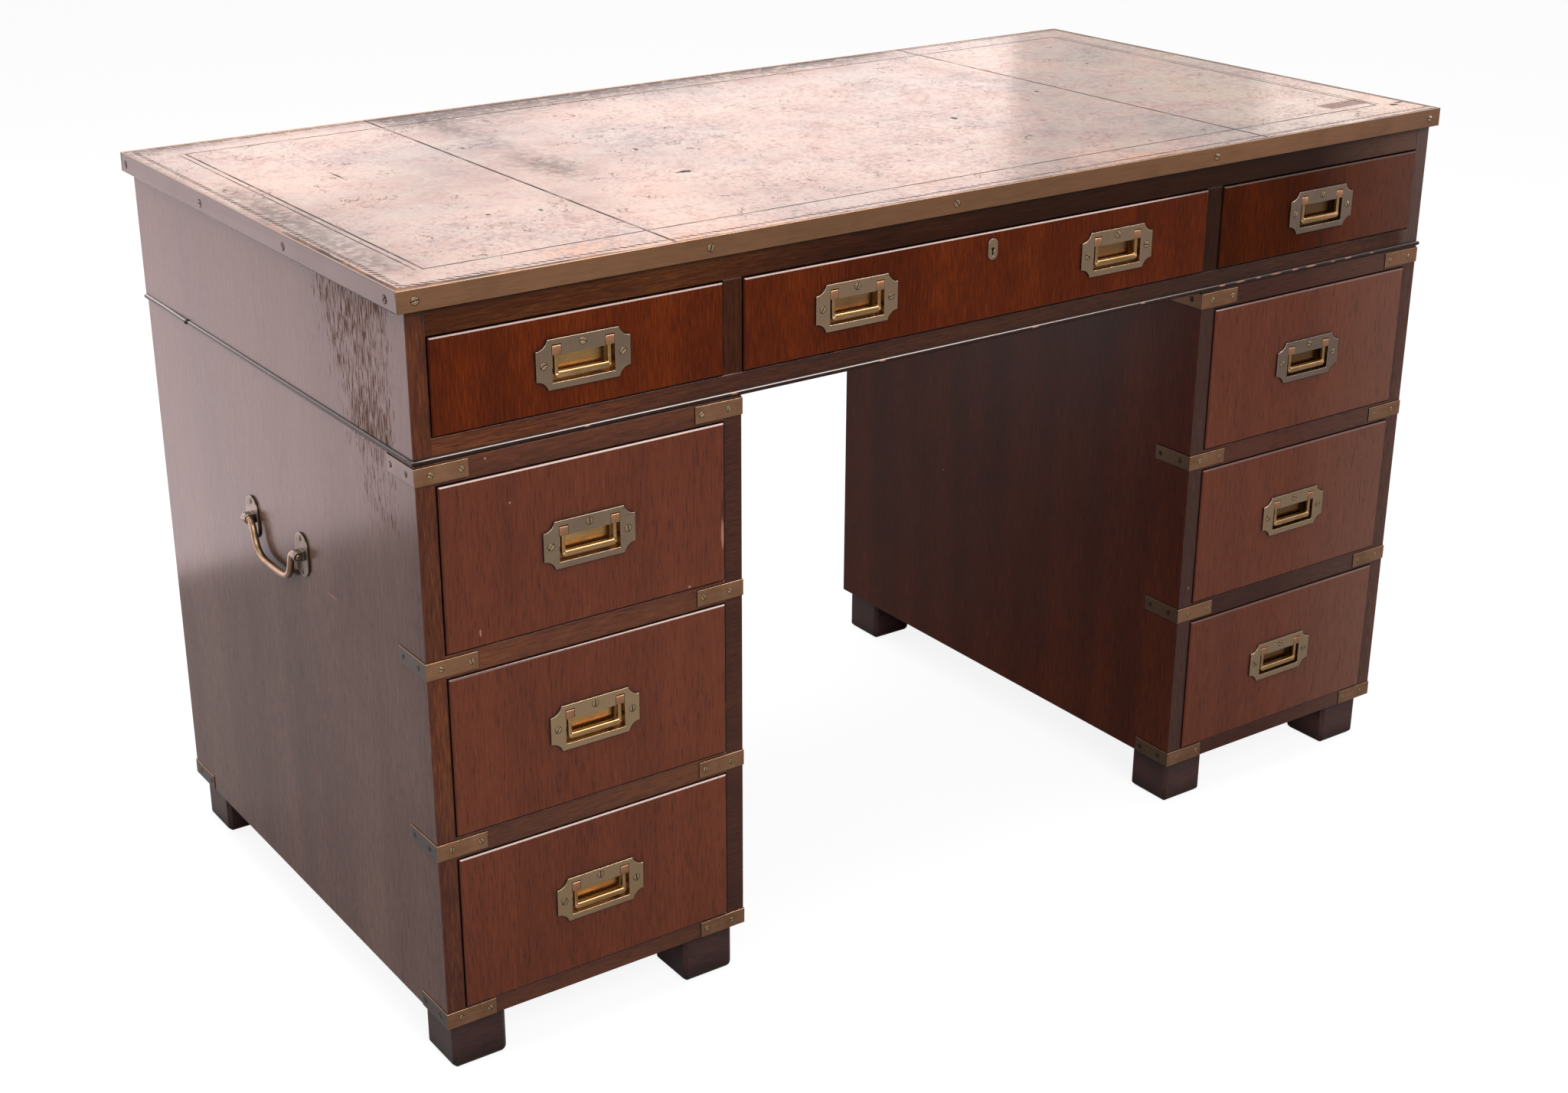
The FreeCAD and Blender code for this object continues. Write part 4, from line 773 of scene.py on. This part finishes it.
def pin(path, side, radii, count):
    """A round pin along a level path: circles of the given radii, closed at both ends."""
    sides = np.broadcast_to(np.asarray(side, dtype=float), path.shape)
    ups = np.broadcast_to(np.array([0.0, 0.0, 1.0]), path.shape)
    return carry(soft_square(1, 2, count), path, sides, ups, radii)


def box_mm(name):
    """The low and high corner of a CAD node's box, in mm."""
    return (np.array(corner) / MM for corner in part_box(name))


# %% [markdown]
# The bead hides the joint between the frieze and the pedestals. A joiner runs it with a scratch
# stock: a half round, 5 mm high. It goes round three sides with mitred corners, and on the left
# a length near the back has come loose and stands off a little.

# %% The bead
BEAD_LEVEL = 613.5
BEAD_HALF_HEIGHT = 2.45
# Where the loose length is broken off, and how far its end stands off.
BREAK_Y = 190
STAND_OFF = 1.1


def bead():
    """A half-round profile carried along the left, front and right edges."""
    left, right, front, rear = -623.2, 623.2, -310.6, 307.4
    angle = np.linspace(-np.pi / 2, np.pi / 2, 11)
    outline = np.stack([2.5 * np.cos(angle) ** 0.8, BEAD_HALF_HEIGHT * np.sin(angle)], axis=1)
    outline = np.concatenate([[[-4.4, -BEAD_HALF_HEIGHT]], outline, [[-4.4, BEAD_HALF_HEIGHT]]])
    side_y = np.concatenate([np.linspace(rear, 196, 12), [192.5, 191.0, 188.5, 187.0],
                             np.linspace(183, front, 48)])
    front_x = np.linspace(left, right, 90)
    path = np.concatenate([run_of(left, side_y, BEAD_LEVEL), run_of(front_x[1:], front, BEAD_LEVEL),
                           run_of(right, side_y[::-1][1:], BEAD_LEVEL)])
    on_left = path[:, 0] <= left + 1e-6
    on_right = path[:, 0] >= right - 1e-6
    out = np.zeros_like(path)
    out[:, 0] = np.where(on_left, -1.0, np.where(on_right, 1.0, 0.0))
    out[:, 1] = np.where(path[:, 1] <= front + 1e-6, -1.0, 0.0)
    up = np.broadcast_to(np.array([0.0, 0.0, 1.0]), path.shape)
    # The loose end behind the break stands off, and comes back to the side within 60 mm.
    away = np.where(on_left, np.clip((path[:, 1] - BREAK_Y) / 60, 0, 1), 0.0)
    loose = np.where(away > 0, 1.0 - away, 0.0)
    path = path + STAND_OFF * loose[:, None] * out
    scale = np.where(on_left & (np.abs(path[:, 1] - 189.8) < 1.6), 0.35, 1.0)
    grid = carry(outline, path, out, up, scale)
    made = piece("rounded_bead", "desk_top", [(grid, False, True, 0)], [bead_polish])
    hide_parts("bead_moulding")
    return made


rounded_bead = bead()
print("bead:", len(rounded_bead.data.polygons), "faces")

# %% [markdown]
# Each bail is cast in one piece: a bar that the finger hooks, two arms, and two square lugs that
# turn on pins in the pan. Filing leaves its long edges softly bevelled, and the corners
# between bar and arms look mitred.

# %% The bails
def rounded_block(centre, half, radius):
    """A block with ball corners: a smaller block's corner plus a ball, for every direction."""
    around = np.linspace(0, 2 * np.pi, 24, endpoint=False) + np.pi / 24
    a, d = np.meshgrid(around, np.linspace(0, np.pi, 12), indexing="ij")
    ball = np.stack([np.sin(d) * np.cos(a), np.sin(d) * np.sin(a), np.cos(d)], axis=-1)
    return centre + np.sign(np.round(ball, 9)) * (np.array(half) - radius) + radius * ball


# The bail's half span between the lugs, its drop below the pins, and the radius of its corners.
BAIL_REACH, BAIL_DROP, BAIL_CORNER = 26.6, 23.1, 1.2
BAIL_HALF_THICK = 2.95
# A lug's half sizes, the radius of its corners, and how far its middle lies below the pin.
LUG_HALF, LUG_ROUND, LUG_DROP = (4.6, 3.28, 4.3), 0.7, 0.7
# The pin's radius, and its end's distance from the bail's middle.
BAIL_PIN_RADIUS, BAIL_PIN_END = 1.2, 33.1


def bail(name):
    """Bar and arms as one carried outline, two lugs, and their pins."""
    low, high = box_mm(name)
    hinge = np.array([(low[0] + high[0]) / 2, low[1] + 3.3, high[2] - 3.6])
    rise_along = np.linspace(0, 1, 5)[:, None]
    top, foot = np.array([-BAIL_REACH, 0, -5.0]), np.array([-BAIL_REACH, 0, BAIL_CORNER - BAIL_DROP])
    arm = top + rise_along * (foot - top)
    bend = np.linspace(np.pi, 1.5 * np.pi, 6)[1:]
    turn = run_of(BAIL_CORNER - BAIL_REACH + BAIL_CORNER * np.cos(bend), 0.0,
                  BAIL_CORNER - BAIL_DROP + BAIL_CORNER * np.sin(bend))
    half = np.concatenate([arm, turn, [[-8.0, 0, -BAIL_DROP]]])
    path = np.concatenate([half, half[::-1] * np.array([-1, 1, 1])])
    side, axis = directions(path, (0, 1, 0))
    swell = np.concatenate([np.full(5, 0.66), np.linspace(0.72, 1.0, 5), [1.0]])
    scale = np.concatenate([swell, swell[::-1]])
    outline = soft_square(BAIL_HALF_THICK, 5, 16)
    skins = [(carry(outline, path + hinge, side, axis, scale), False, True, 0)]
    for hand in (-1, 1):
        lug = rounded_block(hinge + (hand * BAIL_REACH, 0, -LUG_DROP), LUG_HALF, LUG_ROUND)
        reach = hand * np.array([BAIL_REACH, BAIL_PIN_END])
        axle = pin(hinge + run_of(reach, 0.0, 0.0), (0, 1, 0), np.full(2, BAIL_PIN_RADIUS), 12)
        skins += [(lug, True, False, 1), (axle, False, True, 1)]
    made = piece("cast_" + name, name, skins, [bail_brass, lug_brass], smooth=35)
    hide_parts(name)
    return made


bails = [bail(name) for name in nodes if "_bail" in name]
print("bails:", len(bails), "of", len(bails[0].data.polygons), "faces")

# %% [markdown]
# A carrying grip is cast brass, a bar of about 6 mm with flattened faces, bent to a deep bow so
# that a hand fits through. Its ends turn outwards to the pivots, each with a small collar.

# %% The carrying grips
# Half of the bow from a pivot to its lowest point, as (along, height above the pivots).
HALF_BOW = [(53.4, 0.0), (52.6, 0.0), (49.4, -0.8), (45.6, -4.6), (43.6, -12.0), (41.0, -21.5),
            (34.0, -29.6), (23.0, -32.3), (8.0, -32.6)]
GRIP_PIVOT_LEVEL, GRIP_HALF_THICK = 445.5, 3.2
# The pivot and its collar: distances from the grip's middle, and the radii there.
PIVOT_ALONG = np.array([51.6, 52.0, 53.4, 53.8, 53.8, 64.5, 65.0])
PIVOT_RADII = np.array([2.6, 4.0, 4.0, 3.5, 2.55, 2.55, 2.0])


def grip(name):
    """A soft square outline carried along a bow, with a round pivot and collar at each end."""
    low, high = box_mm(name)
    middle = np.array([(low[0] + high[0]) / 2, (low[1] + high[1]) / 2, GRIP_PIVOT_LEVEL])
    plane = smooth_path(HALF_BOW + [(-y, z) for y, z in HALF_BOW[::-1]], 90)
    path = middle + run_of(0.0, plane[:, 0], plane[:, 1])
    side, axis = directions(path, (1, 0, 0))
    swell = 0.86 + 0.14 * np.sin(np.linspace(0, np.pi, len(path))) ** 0.5
    outline = soft_square(GRIP_HALF_THICK, 2.9, 20)
    skins = [(carry(outline, path, side, axis, swell), False, True, 0)]
    for end in (-1, 1):
        pivot = pin(middle + run_of(0.0, end * PIVOT_ALONG, 0.0), (1, 0, 0), PIVOT_RADII, 20)
        skins.append((pivot, False, True, 0))
    made = piece("cast_" + name, name, skins, [grip_brass])
    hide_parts(name)
    return made


grips = [grip("left_handle_grip"), grip("right_handle_grip")]
print("grips:", [len(g.data.polygons) for g in grips])

# %% [markdown]
# Slotted screws. There are over a hundred, so each head has only a few dozen faces: a disc made
# of chords, low domed, with a flat slot whose floor, like the ring round the head, is dark with old
# wax and painted shade. No two slots stand at the same angle, because nobody lined them up.

# %% The screws
# Of a screw's radius: half its slot's width, and its rim, which reaches a little past the head.
SLOT_HALF = 0.17
RIM_RADII = np.array([0.9, 1.17, 1.17])
# Heights above the brass: the rim, the slot's floor, the head's edge, and how much it is domed.
RIM_HEIGHTS = np.array([0.05, 0.05, -0.2])
SLOT_FLOOR, HEAD_EDGE, DOME = 0.06, 0.12, 0.3


def screw_head(centre, outward, radius, turn):
    """A disc of chords: height = edge + dome * (1 - r * r), and the slot's floor where |u| is small."""
    centre, outward = np.array(centre, dtype=float), np.array(outward, dtype=float)
    first = np.cross(outward, (0.0, 0.0, 1.0))
    second = np.cross(outward, first)
    across = math.cos(turn) * first + math.sin(turn) * second
    along = math.cos(turn) * second - math.sin(turn) * first
    skins = []
    # Two domed halves, which have the first material, and the slot's floor, which has the second.
    for row, deep in (([-0.995, -0.85, -0.55, -SLOT_HALF], 0), ([-SLOT_HALF, SLOT_HALF], 1),
                      ([SLOT_HALF, 0.55, 0.85, 0.995], 0)):
        u = np.array(row)[:, None]
        v = np.array([-1.0, -1.0, -0.6, 0.0, 0.6, 1.0, 1.0])[None, :]
        chord = np.sqrt(1 - u ** 2) * v
        height = np.where(deep, SLOT_FLOOR, HEAD_EDGE + DOME * (1 - u ** 2 - chord ** 2))
        height[:, [0, -1]] = RIM_HEIGHTS[-1]
        grid = (centre + radius * (u[..., None] * across + chord[..., None] * along)
                + height[..., None] * outward)
        skins.append((grid, False, False, deep))
    # The ring where the head meets the brass takes the slot's dark tone: painted shade, with old wax.
    around = np.linspace(0, 2 * np.pi, 12, endpoint=False)[None, :, None]
    rim = np.cos(around) * across + np.sin(around) * along
    ring = centre + radius * RIM_RADII[:, None, None] * rim + RIM_HEIGHTS[:, None, None] * outward
    skins.append((ring, False, True, 1))
    for u in (-SLOT_HALF, SLOT_HALF):
        chord = math.sqrt(1 - u ** 2) * np.array([-1.0, -0.6, 0.0, 0.6, 1.0])
        base = centre + radius * (u * across + chord[:, None] * along)
        upper = base + (HEAD_EDGE + DOME * (1 - u ** 2 - chord ** 2))[:, None] * outward
        skins.append((np.stack([base + SLOT_FLOOR * outward, upper], axis=0), False, False, 1))
    return skins


def screws(name, body, places, radius):
    """All screws of one kind on one body, as one piece. Places: (centre, outward direction)."""
    chance = np.random.default_rng(len(name) * 7 + len(places))
    turns = chance.uniform(0, np.pi, len(places))
    skins = []
    for (centre, outward), turn in zip(places, turns):
        skins += screw_head(centre, outward, radius, turn)
    made = piece(name, body, skins, [screw_brass, slot_wax_and_shade], smooth=60)
    return len(places)


# The faces that the screws are set in, as distances from the desk's middle.
BAND_FRONT, BAND_SIDE = 316.0, 632.0
STRAP_FRONT, STRAP_OUTER, STRAP_INNER, STRAP_BACK = 312.5, 624.2, 290.6, 304.5
PLATE_SIDE = 625.4
# The pedestals' corners, from which the straps' screws are measured.
OUTER_CORNER, INNER_CORNER, FRONT_CORNER, BACK_CORNER = 623.2, 291.6, 311.5, 303.5
STRAP_LEVELS = (600.85, 420.3, 239.8, 61.45)
STRAP_SCREWS = (14.3, 43.8)
PULL_SCREWS = ((-39.7, 0), (39.6, 0), (0, 16.2))

band_places = [((x, -BAND_FRONT, 755), (0, -1, 0)) for x in (-615, -326, -48, 293, 616)]
band_places += [((x, BAND_FRONT, 755), (0, 1, 0)) for x in (-615, -310, 0, 310, 615)]
band_places += [((hand * BAND_SIDE, y, 754), (hand, 0, 0))
                for hand in (-1, 1) for y in (304, 104, -90, -294)]
screw_count = screws("band_screws", "desk_top", band_places, 3.6)

for hand, pedestal in ((-1, "left"), (1, "right")):
    places = []
    for level in STRAP_LEVELS:
        for away in STRAP_SCREWS:
            places += [((hand * (OUTER_CORNER - away), -STRAP_FRONT, level), (0, -1, 0)),
                       ((hand * (INNER_CORNER + away), -STRAP_FRONT, level), (0, -1, 0)),
                       ((hand * STRAP_OUTER, away - FRONT_CORNER, level), (hand, 0, 0)),
                       ((hand * STRAP_INNER, away - FRONT_CORNER, level), (-hand, 0, 0))]
    for away in STRAP_SCREWS:
        places += [((hand * STRAP_OUTER, BACK_CORNER - away, STRAP_LEVELS[-1]), (hand, 0, 0)),
                   ((hand * (OUTER_CORNER - away), STRAP_BACK, STRAP_LEVELS[-1]), (0, 1, 0))]
    screw_count += screws(f"{pedestal}_strap_screws", f"{pedestal}_pedestal", places, 2.7)
    plates = [((hand * PLATE_SIDE, y, GRIP_PIVOT_LEVEL + up), (hand, 0, 0))
              for y in (60, -58) for up in (-17, 17)]
    screw_count += screws(f"{pedestal}_handle_screws", f"{pedestal}_pedestal", plates, 2.6)

for name in nodes:
    if "_pull" in name:
        low, high = box_mm(name)
        x, z = (low[0] + high[0]) / 2, (low[2] + high[2]) / 2
        places = [((x + dx, low[1], z + dz), (0, -1, 0)) for dx, dz in PULL_SCREWS]
        screw_count += screws(f"{name}_screws", name.split("_pull")[0], places, 3.3)
print("screws:", screw_count)

# %% [markdown]
# The studio. The world looks white to the camera, at a strength of 1, and so does the floor, which
# keeps the desk's shadow. The light is plain: an even dome, a soft lamp overhead, one from the
# front left and a weaker one from the rear left. Polish is mostly seen by what it mirrors, so
# pale panels stand where the leather, the left side, the rounded edges and the right drawers
# mirror them.

# %% Floor and world
def floor_white():
    """Pale grey paint; the camera sees it mostly as even white, with the shadow left in."""
    material, tree = new_material("floor_pale_paint")
    paint = add(tree, "BsdfDiffuse", {"Color": linear("#B4B4B4")}).outputs["BSDF"]
    white = add(tree, "Emission", {"Color": linear("#FFFFFF"), "Strength": 0.87}).outputs["Emission"]
    shadowed = add(tree, "BsdfDiffuse", {"Color": linear("#7C7C7C")}).outputs["BSDF"]
    ground = add(tree, "AddShader", {0: white, 1: shadowed}).outputs["Shader"]
    seen = add(tree, "LightPath").outputs["Is Camera Ray"]
    mixed = add(tree, "MixShader", {0: seen, 1: paint, 2: ground}).outputs["Shader"]
    return finish_material(material, mixed)


# Half the floor's width, and its level just below the feet, in metres.
FLOOR_HALF, FLOOR_LEVEL = 30, -0.0005
corners = [(x * FLOOR_HALF, y * FLOOR_HALF, FLOOR_LEVEL)
           for x, y in ((-1, -1), (1, -1), (1, 1), (-1, 1))]
floor_mesh = bpy.data.meshes.new("floor")
floor_mesh.from_pydata(corners, [], [(0, 1, 2, 3)])
floor_mesh.materials.append(floor_white())
floor = bpy.data.objects.new("floor", floor_mesh)
bpy.context.scene.collection.objects.link(floor)

world = bpy.data.worlds.new("studio")
bpy.context.scene.world = world
world.use_nodes = True
air = world.node_tree
air.nodes.clear()
ray = add(air, "LightPath").outputs
seen = calc("ADD", ray["Is Camera Ray"], ray["Is Glossy Ray"])
seen = calc("ADD", seen, ray["Is Transmission Ray"], clamp=True)
dome = add(air, "Background", {"Color": linear("#FFFFFF"), "Strength": 0.45}).outputs["Background"]
backdrop = add(air, "Background", {"Color": linear("#FFFFFF"), "Strength": 1.0}).outputs["Background"]
either = add(air, "MixShader", {0: seen, 1: dome, 2: backdrop}).outputs["Shader"]
add(air, "OutputWorld", {"Surface": either})


# %% Lamps
def soft_lamp(name, place, aim, size_x, size_y, power, colour="#FFFFFF"):
    """A rectangular soft lamp at a place in metres, turned to face a point."""
    lamp = bpy.data.lights.new(name, "AREA")
    lamp.shape = "RECTANGLE"
    lamp.size, lamp.size_y = size_x, size_y
    lamp.energy = power
    lamp.color = linear(colour)[:3]
    holder = bpy.data.objects.new(name, lamp)
    holder.location = place
    holder.rotation_euler = (Vector(aim) - Vector(place)).to_track_quat("-Z", "Y").to_euler()
    holder.visible_camera = False
    bpy.context.scene.collection.objects.link(holder)
    return holder


# Name, place, aim, width, height, power in watts, and colour if it isn't white.
LAMPS = (
    ("overhead", (-0.1, 0.25, 2.7), (-0.1, 0.2, 0.7), 2.0, 2.0, 50.0),
    ("key_front_left", (-1.0, -3.0, 2.2), (0.0, 0.0, 0.4), 2.0, 2.0, 75.0),
    ("rear_left", (-2.5, 2.1, 1.7), (-0.6, 0.0, 0.4), 2.0, 1.8, 25.0))
PANELS = (
    ("softbox_above", (1.0, -1.25, 2.6), (0.0, -0.25, 0.5), 1.8, 1.4, 100.0, "#FFEDE4"),
    ("panel_front_right", (3.5, -1.75, 0.75), (0.5, -0.3, 0.5), 1.6, 1.5, 14.0, "#FFF0EA"),
    ("panel_low_left", (-1.87, 0.98, 0.477), (-1.87, 0.0, 0.477), 2.65, 0.945, 14.5, "#FFE8EC"),
    ("panel_high", (0.19, 1.14, 1.36), (0.19, 0.0, 1.36), 2.18, 1.28, 11.5, "#FAE5E0"),
    ("panel_high_far_right", (2.5, 1.14, 1.36), (2.5, 0.0, 1.36), 1.14, 1.28, 5.0, "#FFE8DC"))
for row in LAMPS:
    lamp = soft_lamp(*row)
    # The lamp behind would burn out the glazed leather in a view from the right: nothing mirrors it.
    lamp.visible_glossy = lamp.name != "rear_left"
# The panels are there only to be mirrored and give the desk no light of their own.
for row in PANELS:
    soft_lamp(*row).visible_diffuse = False
print("lamps:", len(LAMPS) + len(PANELS))

# %% [markdown]
# The camera stands at the front left, a little above the desk, with a lens of about 52 mm on a
# 36 mm wide frame. Its direction comes from the desk's own edges and corners.

# %% Camera
yaw, pitch, roll = 0.5883, 0.3881, -0.0069
forward = np.array([math.sin(yaw) * math.cos(pitch), math.cos(yaw) * math.cos(pitch), -math.sin(pitch)])
rightward = np.array([math.cos(yaw), -math.sin(yaw), 0.0])
upward = np.cross(rightward, forward)
right_rolled = math.cos(roll) * rightward + math.sin(roll) * upward
up_rolled = -math.sin(roll) * rightward + math.cos(roll) * upward
eye = bpy.data.cameras.new("camera")
eye.lens, eye.sensor_width = 51.87, 36.0
eye.shift_x, eye.shift_y = 0.0384, -0.0056
camera = bpy.data.objects.new("camera", eye)
turned = Matrix([[right_rolled[i], up_rolled[i], -forward[i]] for i in range(3)]).to_4x4()
camera.matrix_world = Matrix.Translation((-1.3910, -1.9292, 1.2700)) @ turned
bpy.context.scene.collection.objects.link(camera)
bpy.context.scene.camera = camera
bpy.context.scene.view_settings.view_transform = "Standard"
